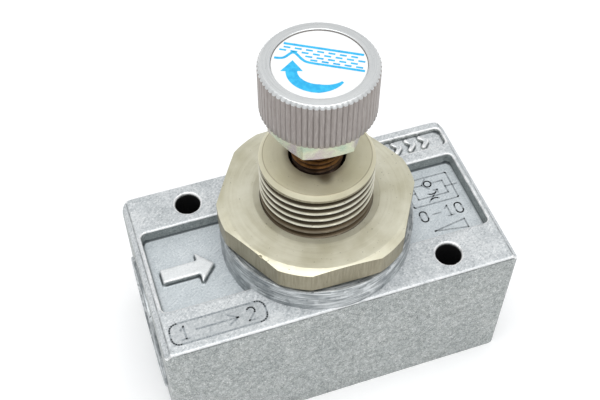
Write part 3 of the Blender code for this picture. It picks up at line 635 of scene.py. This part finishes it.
def knurled_aluminium():
    """Satin aluminium knob: bright rim; the knurled side is painted darker as shade, with more painted shade
    in the grooves.
    """
    f = Finish("satin_aluminium", metallic=0.7, specular=0.5)
    _, _, up = f.axes(f.normal)
    r = f.radius()
    rings = f.noise(1.0, f.lathe(1.4, 5.0), detail=5.0, rough=0.75)
    drag = f.noise(1.0, f.stretched(5.0, 5.0, 0.5), detail=4.0, rough=0.7)
    fine = f.noise(0.2, detail=2.0)
    face = f.ramp(rings, (0.3, 214, 216, 216), (0.5, 228, 230, 230), (0.72, 243, 244, 243))
    skirt = f.ramp(drag, (0.3, 138, 130, 126), (0.5, 153, 146, 142), (0.72, 174, 168, 164))
    # painted shade in the knurl grooves
    skirt = f.mix(f.band(r, KNURL_R - 0.08, KNURL_R - KNURL_DEPTH, 0.0, 0.3), skirt, srgb(112, 104, 100))
    # painted shade: the knurled side takes a darker warm grey copy of the rim's colour
    colour = f.mix(f.band(up, 0.55, 0.2), face, skirt)
    colour = f.mix(f.band(fine, 0.38, 0.25, 0.0, 0.35), colour, srgb(120, 116, 114))
    f.bump(rings, 0.008, 0.5)
    f.bump(drag, 0.012, 0.5)
    f.bump(fine, 0.008, 0.5)
    return f.done(colour, f.band(drag, 0.3, 0.7, 0.3, 0.44))


def printed(name, low, high, coat):
    """Printed film: slight ink density change and a faint orange peel under a clear coat."""
    f = Finish(name, metallic=0.0, specular=0.5, coat=coat, coat_roughness=0.12)
    ink = f.noise(0.6, detail=4.0)
    dots = f.noise(0.12, detail=1.0)
    colour = f.mix(f.band(ink, 0.3, 0.7), low, high)
    f.bump(ink, 0.006, 0.4)
    f.bump(dots, 0.002, 0.4)
    return f.done(colour, f.band(dots, 0.3, 0.7, 0.32, 0.44))


def plain_finish(name, low, high, metallic, rough, grain, turned=False):
    """Finish of the small hidden pieces: two-tone grain, tool marks on turned ones."""
    f = Finish(name, metallic=metallic)
    if turned:
        tone = f.noise(1.0, f.lathe(2.0, 6.0), detail=4.0, rough=0.7)
    else:
        tone = f.noise(grain, detail=4.0)
    fine = f.noise(grain * 0.4, detail=2.0)
    colour = f.mix(f.band(tone, 0.3, 0.7), low, high)
    f.bump(tone, 0.012, 0.5)
    f.bump(fine, 0.008, 0.5)
    return f.done(colour, f.band(fine, 0.3, 0.7, rough - 0.07, rough + 0.07))


# ---------------------------------------------------------------- body

def chevron(x, y, reach, half, width):
    return stroke([(x - reach / 2, y + half), (x + reach / 2, y), (x - reach / 2, y - half)], width)


def casting():
    """The cast block with its pockets, raised symbols, holes and passages."""
    outline = rounded_rect(-HALF_X, HALF_X, -HALF_Y, HALF_Y, (0.8, 0.8, 1.8, 1.8))
    block = mesh_object("body_casting", *prism(outline, 0.0, BODY_TOP))
    over = BODY_TOP + 2.0
    wedge = [(HALF_X - END_CHAMFER - 1.0, BODY_TOP + 1.0), (HALF_X + 1.0, BODY_TOP - END_CHAMFER - 1.0),
             (HALF_X + 1.0, BODY_TOP + 1.0)]
    pocket = rounded_rect(-POCKET_X, POCKET_X, -POCKET_Y, POCKET_Y, (POCKET_CORNER,) * 4)
    cutters = [along_y(prism(wedge, -20.0, 20.0)),
               along_y(prism([(-x, z) for x, z in reversed(wedge)], -20.0, 20.0)),
               prism(pocket, POCKET_Z, over),
               prism(rounded_rect(*SLOT, (0.9,) * 4), BODY_TOP - SLOT_DEPTH, over)]
    cutters += [prism(disc(hx, hy, MOUNT_R), -1.0, over) for hx, hy in MOUNT_HOLES]
    for cutter in cutters:
        cut(block, solids("cutter", [cutter]))
    cut(block, solids("well", [prism(disc(0.0, 0.0, WELL_R - 0.1, 96), WELL_FLOOR + 0.1, over + 3.0)]))
    for side in (-1, 1):
        low, high = sorted((side * (HALF_X + 1.0), side * (HALF_X - PORT_DEPTH)))
        cut(block, solids("port", [along_x(prism(disc(0.0, 0.0, 9.0, 72), low, high), PORT_Z)]))
        cut(block, passage(side, 10.0, PASSAGE_REACH))
    raised = []
    # flow arrow
    arrow = [(-26.6, -1.65), (-20.4, -1.65), (-20.4, -3.3), (-17.7, -0.3), (-20.4, 2.7), (-20.4, 1.05),
             (-26.6, 1.05)]
    raised.append(prism(arrow, POCKET_Z - 0.4, POCKET_Z + 1.0))
    for n in range(4):
        for piece in chevron(17.2 + 2.6 * n, 12.35, 1.1, 1.1, 0.8):
            raised.append(prism(piece, BODY_TOP - SLOT_DEPTH - 0.4, BODY_TOP - SLOT_DEPTH + 0.7))
    extra = solids("raised", raised)
    parts = bmesh.new()
    parts.from_mesh(block.data)
    parts.from_mesh(extra.data)
    parts.to_mesh(block.data)
    parts.free()
    bpy.data.objects.remove(extra)
    mod = block.modifiers.new("voxels", "REMESH")
    mod.mode, mod.voxel_size = "VOXEL", VOXEL
    apply_modifiers(block)
    soften(block)
    return block


def digit(which, x, y, size):
    """Centre lines of the digits 0, 1 and 2 in a box of the given height, lower left corner at x, y."""
    w = 0.56 * size
    if which == "1":
        return [[(x + 0.1 * w, y + 0.74 * size), (x + 0.55 * w, y + size), (x + 0.55 * w, y)],
                [(x + 0.1 * w, y), (x + w, y)]]
    if which == "2":
        top = arc(x + w / 2, y + size - w / 2, w / 2, 165, -30, 7)
        return [top + [(x, y), (x + w, y)]]
    upper = arc(x + w / 2, y + size - w / 2, w / 2, 0, 180, 8)
    lower = arc(x + w / 2, y + w / 2, w / 2, 180, 360, 8)
    ring = upper + lower
    return [ring + ring[:1]]


def plate_strokes():
    """Plate: a rounded frame, and the port numbers joined by an arrow."""
    x0, x1, y0, y1 = PLATE
    frame_line = rounded_rect(x0, x1, y0, y1, (1.3,) * 4)
    paths = [frame_line + frame_line[:1]]
    mid, size = (y0 + y1) / 2, 2.3
    paths += digit("1", -26.4, mid - size / 2, size) + digit("2", -15.6, mid - size / 2, size)
    paths += [[(-23.9, mid), (-17.2, mid)], [(-18.7, mid + 0.95), (-17.1, mid), (-18.7, mid - 0.95)]]
    return paths


def symbol_strokes():
    """One-way flow control symbol, and a plain 0-10 opening scale with its wedge, in the right pocket."""
    x0, x1, y0, y1 = 18.2, 26.5, 0.1, 5.9
    box = rounded_rect(x0, x1, y0, y1, (0.2,) * 4, 2)
    low, high = 1.6, 4.4
    mid = (low + high) / 2
    paths = [box + box[:1], [(16.9, mid), (19.6, mid)], [(25.2, mid), (27.4, mid)],
             [(19.6, low), (19.6, high)], [(25.2, low), (25.2, high)],
             [(19.6, high), (21.2, high)], [(23.1, high), (25.2, high)], [(19.6, low), (25.2, low)],
             arc(22.4, high, 0.65, 0, 360, 16), [(22.3, high + 1.1), (21.3, high), (22.3, high - 1.1)],
             arc(22.4, low + 1.75, 1.3, 235, 305, 6), arc(22.4, low - 1.75, 1.3, 55, 125, 6),
             [(21.2, low - 1.1), (23.6, low + 1.2)],
             [(22.9, low + 1.2), (23.6, low + 1.2), (23.5, low + 0.5)]]
    size, base = 2.2, -3.2
    paths += digit("0", 18.4, base, size)
    paths += [[(20.7, base + 1.1), (22.1, base + 1.1)]]
    paths += digit("1", 23.0, base, size) + digit("0", 24.9, base, size)
    paths += [[(19.6, -5.5), (25.4, -4.6), (25.4, -6.4), (19.6, -5.5)]]
    return paths


def marks():
    """The drawn lines of the plate and the symbols, standing a hair above the cast face."""
    parts = []
    for paths, width, level in ((plate_strokes(), 0.3, BODY_TOP), (symbol_strokes(), 0.27, POCKET_Z)):
        for path in paths:
            parts += [prism(piece, level - 0.3, level + 0.035) for piece in stroke(path, width)]
    return solids("body_marks", parts)


def soften(obj):
    """Rounds the voxel mesh like a casting, stores per vertex how far each edge and hollow moved, and thins
    the mesh.
    """
    mesh = obj.data
    count = len(mesh.vertices)
    start = np.empty(count * 3)
    mesh.vertices.foreach_get("co", start)
    start = start.reshape(-1, 3)
    mod = obj.modifiers.new("soften", "SMOOTH")
    mod.factor, mod.iterations = 0.5, 5
    apply_modifiers(obj)
    mesh = obj.data
    end = np.empty(count * 3)
    mesh.vertices.foreach_get("co", end)
    normals = np.empty(count * 3)
    mesh.vertex_normals.foreach_get("vector", normals)
    end, normals = end.reshape(-1, 3), normals.reshape(-1, 3)
    edges = np.empty(len(mesh.edges) * 2, int)
    mesh.edges.foreach_get("vertices", edges)
    a, b = edges.reshape(-1, 2).T
    rounding_depth = np.einsum("ij,ij->i", start - end, normals) / FULL_ROUNDING
    links = np.bincount(a, minlength=count) + np.bincount(b, minlength=count)
    for _ in range(2):
        total = np.bincount(a, rounding_depth[b], count) + np.bincount(b, rounding_depth[a], count)
        rounding_depth = 0.5 * rounding_depth + 0.5 * total / np.maximum(links, 1)
    tree = kdtree.KDTree(count)
    for i, co in enumerate(end):
        tree.insert(co, i)
    tree.balance()
    mod = obj.modifiers.new("thin", "DECIMATE")
    mod.ratio = min(1.0, BODY_TRIANGLES / (2 * len(mesh.polygons)))
    apply_modifiers(obj)
    mesh = obj.data
    kept = [rounding_depth[tree.find(v.co)[1]] for v in mesh.vertices]
    layer = mesh.attributes.new("rounding_depth", "FLOAT", "POINT")
    layer.data.foreach_set("value", np.clip(kept, -1.0, 1.0))


def passage(side, inner, outer):
    """Cutter for the drilling from a port to its chamber, between two distances from the middle."""
    r, z = INLET if side < 0 else OUTLET
    low, high = sorted((side * inner, side * outer))
    return solids("passage", [along_x(prism(disc(0.0, 0.0, r), low, high), z)])


def boss():
    """Turned boss with the bonnet bore, chamber and well below it."""
    under = POCKET_Z - 0.8
    outside = rounded([
        (9.9, BOSS_TOP, 0.1), (10.2, BOSS_TOP, 0.0), (BOSS_R - 0.55, BOSS_TOP, 0.0), (BOSS_R, BOSS_TOP, 0.22),
        (BOSS_R, under, 0.0), (WELL_R, under, 0.0), (WELL_R, WELL_FLOOR, 0.0)], closed=False)
    bore = rounded([
        (4.8, CHAMBER_FLOOR, 0.3), (4.8, 11.5, 0.0), (6.6, 11.5, 0.0), (6.6, 13.2, 0.1), (8.0, 13.2, 0.2),
        (8.0, 26.2, 0.1), (9.3, 26.2, 0.1), (9.3, BOSS_TOP - 0.6, 0.0)], closed=False)
    # the skin runs down the outside, under the well's floor and up the bore
    rings = outside + [(AXIS_GAP, WELL_FLOOR), (AXIS_GAP, CHAMBER_FLOOR)] + bore
    obj = polar_solid("body_boss", even_angles(192), rings)
    for side in (-1, 1):
        cut(obj, passage(side, 2.0, PASSAGE_REACH))
    return obj


def port_ring(name, side):
    """Faced ring of a port with its helical pipe thread, floor and passage."""
    angles = even_angles(128)
    out = HALF_X + PORT_RING_OUT
    back, floor = HALF_X - PORT_DEPTH - 1.0, HALF_X - PORT_DEPTH + 0.5
    rings = rounded([
        (9.1, out, 0.0), (9.25, out, 0.0), (PORT_RING_R - 0.5, out, 0.0), (PORT_RING_R, out, 0.2),
        (PORT_RING_R, out - 1.1, 0.0), (9.05, out - 1.1, 0.0), (9.05, back, 0.0)], closed=False)
    rings += [(AXIS_GAP, back), (AXIS_GAP, floor), (PORT_MAJOR_R, floor)]
    for h in np.arange(floor + 0.2, out - 0.85, 0.11):
        fade = ease((h - floor - 0.7) / 1.0) * ease((out - 0.9 - h) / 0.6)
        depth = (PORT_MAJOR_R - PORT_MINOR_R) * thread_cut(angles, h, PORT_PITCH, 0.0)
        rings.append((PORT_MAJOR_R - depth * fade, h))
    obj = polar_solid(name, angles, rings)
    turn = Matrix.Rotation(math.radians(90 * side), 4, "Y")
    obj.data.transform(Matrix.Translation((0, 0, PORT_Z)) @ turn)
    cut(obj, passage(side, 8.0, PASSAGE_REACH + 0.6))
    return obj


# ---------------------------------------------------------------- bonnet, nuts, spindle, knob

BONNET_R, BONNET_ROOT, BONNET_PITCH = 9.0, 8.1, 1.5
BONNET_FACE_R = 8.35
BONNET_START, BONNET_THREAD_END = 45.15, 33.0
SPINDLE_R, SPINDLE_DEPTH, SPINDLE_PITCH = 4.0, 0.55, 1.0
SPINDLE_THREAD = (56.7, 40.8)
WASHER_FACE = 0.4
RECESS_R, RECESS_FLOOR = 6.74, 64.9
PRINT_R, LABEL_TURN = 6.45, -18.8
KNURL_R, KNURL_DEPTH, KNURLS = KNOB_HI.x, 0.17, 66
NICK = (-12.3, -9.15)


def bonnet():
    """Threaded bonnet: M18 x 1.5 outside, spindle bore, gland and spring pocket inside."""
    angles = even_angles(192)
    top = BONNET_HI.z
    rings = rounded([
        (4.45, top, 0.0), (4.6, top, 0.0), (BONNET_FACE_R - 0.15, top, 0.0), (BONNET_FACE_R, top, 0.06),
        (BONNET_R, top - 0.6, 0.08), (BONNET_R, top - 0.95, 0.0)], closed=False)
    for z in np.arange(top - 1.0, BONNET_THREAD_END, -0.085):
        fade = ease((top - 1.0 - z) / 0.5) * ease((z - BONNET_THREAD_END - 0.1) / 0.8)
        depth = (BONNET_R - BONNET_ROOT) * thread_cut(angles, z, BONNET_PITCH, BONNET_START)
        rings.append((BONNET_R - depth * fade, z))
    rings += rounded([
        (BONNET_R, 32.9, 0.0), (BONNET_R, 26.9, 0.15), (7.7, 26.9, 0.0), (7.7, 25.0, 0.1),
        (6.8, 25.0, 0.1), (6.8, 23.2, 0.1), (7.7, 23.2, 0.1), (7.7, 22.0, 0.15), (6.0, 22.0, 0.15),
        (6.0, 27.0, 0.1), (5.0, 27.0, 0.1), (5.0, 35.6, 0.1), (4.3, 35.6, 0.1), (4.3, 46.6, 0.0)],
        closed=False)
    return polar_solid("bonnet_threaded", angles, rings)


def hex_nut(name, flats, corner_r, turn, top, bottom, upper_cone, lower_cone, bore):
    """Hexagon with turned corners and conical chamfers that leave crescents on its flats.

    A cone is the radius where the chamfer starts and its slope; bore is the ring list up the hole.
    """
    half = flats / 2
    limit = math.acos(half / corner_r)
    angles = []
    for k in range(6):
        middle = turn + math.radians(30 + 60 * k)
        angles += [middle + a for a in np.linspace(-limit, limit, 23)]
        angles += [middle + a for a in np.linspace(limit, math.pi / 3 - limit, 9)[1:-1]]
    angles = np.array(angles)
    from_flat = (angles - turn) % (math.pi / 3) - math.pi / 6
    edge = np.minimum(half / np.cos(from_flat), corner_r)
    start, slope = upper_cone
    face = np.minimum(edge, start)
    rings = [(face - 0.15, top), (face, top), (edge, top - np.maximum(edge - start, 0.0) * slope)]
    start, slope = lower_cone
    rings += [(edge, bottom + np.maximum(edge - start, 0.0) * slope), (np.minimum(edge, start), bottom)]
    return polar_solid(name, angles, rings + bore)


def panel_nut():
    """Panel nut, 30 mm across flats, with a turned washer face below and a countersunk hole."""
    low, top, flats, corner_r = NUT_LO.z + WASHER_FACE, NUT_HI.z, 30.0, 16.0
    washer = [(14.0, low), (14.0, NUT_LO.z), (9.3, NUT_LO.z)]
    bore = [(9.06, NUT_LO.z + 0.3), (9.06, top - 0.16), (9.9, top - 0.07), (10.15, top), (10.3, top)]
    obj = hex_nut("panel_nut_body", flats, corner_r, math.radians(-1.0), top, low, (14.7, 0.28), (15.3, 0.35),
                  washer + bore)
    # small nick in the upper edge
    cut(obj, solids("nick", [prism(disc(*NICK, 0.42, 12), top - 0.4, top + 1.0)]))
    return obj


def lock_nut():
    """Lock nut on the spindle, chamfered on both sides."""
    low, top, flats, corner_r, cone = LOCK_LO.z, LOCK_HI.z, 13.0, 7.5, (6.4, 0.5)
    bore = [(4.8, low), (4.3, low + 0.5), (4.3, top - 0.5), (4.8, top), (4.95, top)]
    return hex_nut("lock_nut_body", flats, corner_r, math.radians(-6.0), top, low, cone, cone, bore)


def spindle():
    """Throttle spindle: tapped stub, M8 x 1 thread, neck, sealing collar and needle."""
    angles = even_angles(96)
    start, end = SPINDLE_THREAD
    rings = rounded([(1.8, 53.0, 0.0), (1.8, 60.0, 0.1), (3.0, 60.0, 0.2), (3.0, 57.2, 0.0), (3.6, 57.2, 0.1),
                     (SPINDLE_R, start + 0.1, 0.0)], closed=False)
    for z in np.arange(start, end, -0.07):
        fade = ease((start - z) / 0.4) * ease((z - end - 0.2) / 0.6)
        depth = SPINDLE_DEPTH * thread_cut(angles, z, SPINDLE_PITCH, 0.3)
        rings.append((SPINDLE_R - depth * fade, z))
    rings += rounded([
        (SPINDLE_R, end - 0.1, 0.0), (3.3, 40.3, 0.1), (3.3, 33.3, 0.1), (4.7, 33.3, 0.15),
        (4.7, 32.55, 0.05), (3.6, 32.55, 0.1), (3.6, 30.2, 0.1), (4.7, 30.2, 0.05), (4.7, 27.3, 0.2),
        (2.3, 27.3, 0.2),
        (2.3, 15.2, 0.0), (1.5, 9.5, 0.2), (0.2, 9.5, 0.0)], closed=False)
    return polar_solid("spindle_threaded", angles, rings, closed=False)


def knob():
    """Knurled knob with a recess for its label and a counterbored web."""
    angles = even_angles(KNURLS * 10)
    wave = np.abs(((angles * KNURLS / TAU) % 1.0) * 2.0 - 1.0)
    groove = np.clip((wave - 0.42) / 0.58, 0.0, 1.0)
    groove = groove * groove * (3 - 2 * groove) * 0.5 + groove * 0.5
    top, bottom = KNOB_HI.z, KNOB_LO.z
    # radius, height and share of the groove depth: the ridges scallop the rim's bevel
    outside = [
        (RECESS_R, top - 0.1, 0.0), (6.84, top, 0.0), (6.9, top, 0.0), (8.08, top, 0.0),
        (8.14, top - 0.01, 0.0), (8.2, top - 0.05, 0.1), (8.38, top - 0.2, 0.5),
        (KNURL_R - 0.07, top - 0.36, 0.9), (KNURL_R - 0.02, top - 0.44, 1.0),
        (KNURL_R, top - 0.55, 1.0), (KNURL_R, top - 2.4, 1.0), (KNURL_R, top - 4.2, 1.0),
        (KNURL_R, bottom + 1.6, 1.0), (KNURL_R, bottom + 0.3, 1.0),
        (KNURL_R - 0.05, bottom + 0.2, 1.0), (KNURL_R - 0.25, bottom, 0.6)]
    rings = [(r - KNURL_DEPTH * groove * share, z) for r, z, share in outside]
    rings += rounded([
        (3.3, bottom, 0.1), (3.3, 60.3, 0.0), (1.8, 60.3, 0.0), (1.8, 61.9, 0.0), (3.2, 61.9, 0.0),
        (3.2, RECESS_FLOOR, 0.1), (RECESS_R, RECESS_FLOOR, 0.0)], closed=False)
    return polar_solid("knob_knurled", angles, rings)


def spring():
    """Check spring: six turns of round wire, the last turn at each end closed up."""
    turns, per_turn, around, wire = 6, 40, 12, 0.39
    closed = 2.15 * wire
    middle = (SPRING_HI.x - SPRING_LO.x) / 2 - wire - 0.01
    low, high = SPRING_LO.z + wire + 0.01, SPRING_HI.z - wire - 0.01
    at = np.arange(turns * per_turn + 1) / per_turn
    height = np.interp(at, [0.0, 1.0, turns - 1.0, turns], [low, low + closed, high - closed, high])
    verts = []
    for turn, z in zip(at * TAU, height):
        for k in range(around):
            r = middle + wire * math.cos(TAU * k / around)
            verts.append((r * math.cos(turn), r * math.sin(turn), z + wire * math.sin(TAU * k / around)))
    faces = [tuple(range(around)), tuple(range(len(verts) - 1, len(verts) - 1 - around, -1))]
    for i in range(len(at) - 1):
        for k in range(around):
            a, b = i * around + k, i * around + (k + 1) % around
            faces.append((a, a + around, b + around, b))
    return mesh_object("check_spring_coil", verts, faces)


def label():
    """Label disc in the knob's recess, its edge rolled over."""
    top, low, edge = LABEL_HI.z, LABEL_LO.z, RECESS_R - 0.05
    rings = [(3.0, top), (6.2, top), (edge - 0.09, top), (edge - 0.03, top - 0.03), (edge, top - 0.1),
             (edge, low), (3.0, low)]
    return polar_solid("label_disc", even_angles(128), rings, closed=False)


def ribbon(points, widths, low, high):
    """A flat band along a path, its width given at each point."""
    left, right = [], []
    for i, (x, y) in enumerate(points):
        ax, ay = points[max(i - 1, 0)]
        bx, by = points[min(i + 1, len(points) - 1)]
        length = math.hypot(bx - ax, by - ay)
        nx, ny = -(by - ay) / length, (bx - ax) / length
        w = widths[i] / 2
        left.append((x + nx * w, y + ny * w))
        right.append((x - nx * w, y - ny * w))
    outline = right + left[::-1]
    return prism(outline, low, high)


def pictogram():
    """Printed on the label: a channel that narrows, flow dashes in it, and a curved turn arrow.

    Points are drawn in the reader's frame, x to the right and y away, and then turned with the knob.
    """
    low, high = LABEL_HI.z - 0.02, LABEL_HI.z + 0.03
    c, s = math.cos(math.radians(LABEL_TURN)), math.sin(math.radians(LABEL_TURN))
    parts = []

    def turned(points):
        return [(x * c - y * s, x * s + y * c) for x, y in points]

    def band(points, widths):
        parts.append(ribbon(turned(points), widths, low, high))

    def wall(points, width):
        kept = [p for p in points if math.hypot(*p) < PRINT_R]
        if len(kept) > 1:
            band(kept, [width] * len(kept))

    def slope(x):
        return -0.215 * x

    xs = np.linspace(0.05 - PRINT_R, PRINT_R - 0.05, 60)
    wall([(x, 3.0 + slope(x)) for x in xs], 0.42)
    wall([(x, -0.15 + slope(x) + 1.55 * math.exp(-((x + 3.5) / 1.05) ** 2)) for x in xs], 0.4)
    for offset, first in ((2.3, -4.9), (1.65, -5.5), (1.0, -1.9), (0.4, -1.2)):
        for x in np.arange(first, 5.6, 1.55):
            wall([(x, offset + slope(x)), (x + 0.95, offset + slope(x + 0.95))], 0.3)
    # the arrow is a thick arc open at the upper right, its head pointing up at the left
    path = [(0.1 + 3.9 * math.cos(math.radians(a)), -1.5 + 3.3 * math.sin(math.radians(a)))
            for a in range(-38, -186, -6)]
    band(path, [0.35 + 1.25 * min(1.0, i / 9) for i in range(len(path))])
    x, y = path[-1]
    head = turned([(x - 1.5, y - 0.1), (x + 1.55, y - 0.1), (x + 0.15, y + 2.0)])
    parts.append(prism(head, low, high + 0.012))
    return solids("label_print", parts)


# ---------------------------------------------------------------- assembly

place(casting(), "body", cast_zinc(), ("valve_body",), sharp=180.0)
place(marks(), "body", mark_line_shade(), sharp=40.0)
place(boss(), "body", turned_zinc("turned_boss"), sharp=40.0)
port_metal = turned_zinc("turned_port", port=True)
for name, side in (("port_ring_1", -1), ("port_ring_2", 1)):
    place(port_ring(name, side), "body", port_metal, sharp=40.0)
place(bonnet(), "body", anodised("champagne_thread", threaded=True), ("bonnet",), sharp=50.0)
place(panel_nut(), "panel_nut", anodised("champagne"), ("panel_nut",), sharp=12.0, bevel=0.07)
place(lock_nut(), "lock_nut", plated_steel(), ("lock_nut",), sharp=12.0, bevel=0.06)
place(spindle(), "spindle", dark_brass(), ("throttle_spindle",), sharp=50.0)
place(knob(), "spindle", knurled_aluminium(), ("adjusting_knob",), sharp=50.0)
film = printed("label_film", srgb(238, 240, 240), srgb(250, 250, 249), coat=0.3)
place(label(), "spindle", film, ("knob_label",), sharp=50.0)
ink = printed("label_ink", srgb(24, 170, 226), srgb(52, 194, 242), coat=0.3)
place(pictogram(), "spindle", ink, sharp=30.0)

wire_steel = plain_finish("spring_steel", srgb(150, 150, 150), srgb(190, 190, 190), 1.0, 0.28, 0.3)
coil = place(spring(), "check_poppet", wire_steel, ("check_spring",), sharp=60.0)
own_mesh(coil)

# the pieces kept as their CAD meshes: material, two tones, metallic, roughness, grain size, turned
HIDDEN = {
    "seat_ring": ("seat_brass", (196, 162, 92), (222, 190, 124), 0.9, 0.32, 0.5, True),
    "bonnet_o_ring": ("rubber_a", (28, 28, 29), (44, 44, 45), 0.0, 0.6, 0.3, False),
    "spindle_o_ring": ("rubber_b", (26, 26, 27), (42, 42, 43), 0.0, 0.58, 0.3, False),
    "spindle_back_up_ring": ("fluoropolymer", (226, 226, 220), (240, 240, 236), 0.0, 0.4, 0.4, False),
    "check_poppet": ("acetal", (52, 52, 54), (70, 70, 72), 0.0, 0.38, 0.4, True),
    "poppet_seal": ("rubber_c", (24, 24, 25), (40, 40, 41), 0.0, 0.62, 0.3, False),
    "knob_screw": ("screw_steel", (160, 160, 162), (196, 196, 198), 1.0, 0.3, 0.3, True),
}
for node, (name, dark, light, metallic, rough, grain, turned) in HIDDEN.items():
    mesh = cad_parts[node].data
    mesh.materials.clear()
    mesh.materials.append(plain_finish(name, srgb(*dark), srgb(*light), metallic, rough, grain, turned))


# ---------------------------------------------------------------- floor, light, camera

FLOOR_HALF = 2500.0
WORLD_STRENGTH = 0.56
LIGHT_TARGET = (0, 0, 30)
CAMERA_AT = (-33.52, -90.46, 158.0)
CAMERA_LOOK = (0.19924, 0.58559, -0.78575)
CAMERA_ROLL = 0.086
CAMERA_LENS = 58.18


def studio_floor():
    """Matt white ground with a little light of its own."""
    f = Finish("floor", metallic=0.0, specular=0.2)
    tone = f.noise(90.0, detail=2.0)
    f.bump(f.noise(3.0), 0.02, 0.2)
    material = f.done(f.mix(f.band(tone, 0.3, 0.7), (0.95, 0.95, 0.955, 1), (0.97, 0.97, 0.97, 1)), 0.75)
    f.shader.inputs["Emission Color"].default_value = (1.0, 1.0, 1.0, 1.0)
    f.shader.inputs["Emission Strength"].default_value = 0.14
    corners = [(x * FLOOR_HALF, y * FLOOR_HALF, 0) for x, y in ((-1, -1), (1, -1), (1, 1), (-1, 1))]
    floor = mesh_object("floor", corners, [(0, 1, 2, 3)])
    floor.data.transform(Matrix.Scale(MM, 4))
    floor.data.materials.append(material)


def area_light(name, place_mm, size_mm, power):
    """White rectangular light aimed at the valve."""
    light = bpy.data.lights.new(name, "AREA")
    light.shape = "RECTANGLE"
    light.size, light.size_y = size_mm[0] * MM, size_mm[1] * MM
    light.energy = power
    obj = bpy.data.objects.new(name, light)
    obj.location = Vector(place_mm) * MM
    aim = Vector(LIGHT_TARGET) - Vector(place_mm)
    obj.rotation_euler = aim.to_track_quat("-Z", "Y").to_euler()
    bpy.context.scene.collection.objects.link(obj)


studio_floor()
world = bpy.data.worlds.new("studio")
bpy.context.scene.world = world
world.use_nodes = True
sky = world.node_tree.nodes["Background"]
sky.inputs["Color"].default_value = (0.97, 0.985, 1.0, 1)
sky.inputs["Strength"].default_value = WORLD_STRENGTH
area_light("key", (50, -120, 600), (420, 420), 1.55)
area_light("overhead", (-150, 40, 600), (300, 300), 0.8)

camera = bpy.data.cameras.new("camera")
camera.lens, camera.sensor_width = CAMERA_LENS, 36.0
camera.clip_start, camera.clip_end = 0.01, 10.0
eye = bpy.data.objects.new("camera", camera)
look = Vector(CAMERA_LOOK)
level = Vector((look.y, -look.x, 0)).normalized()
above = level.cross(look)
roll = math.radians(CAMERA_ROLL)
right = level * math.cos(roll) + above * math.sin(roll)
above = above * math.cos(roll) - level * math.sin(roll)
facing = Matrix((right, above, -look)).transposed().to_4x4()
eye.matrix_world = Matrix.Translation(Vector(CAMERA_AT) * MM) @ facing
bpy.context.scene.collection.objects.link(eye)
bpy.context.scene.camera = eye
bpy.context.scene.view_settings.view_transform = "Standard"
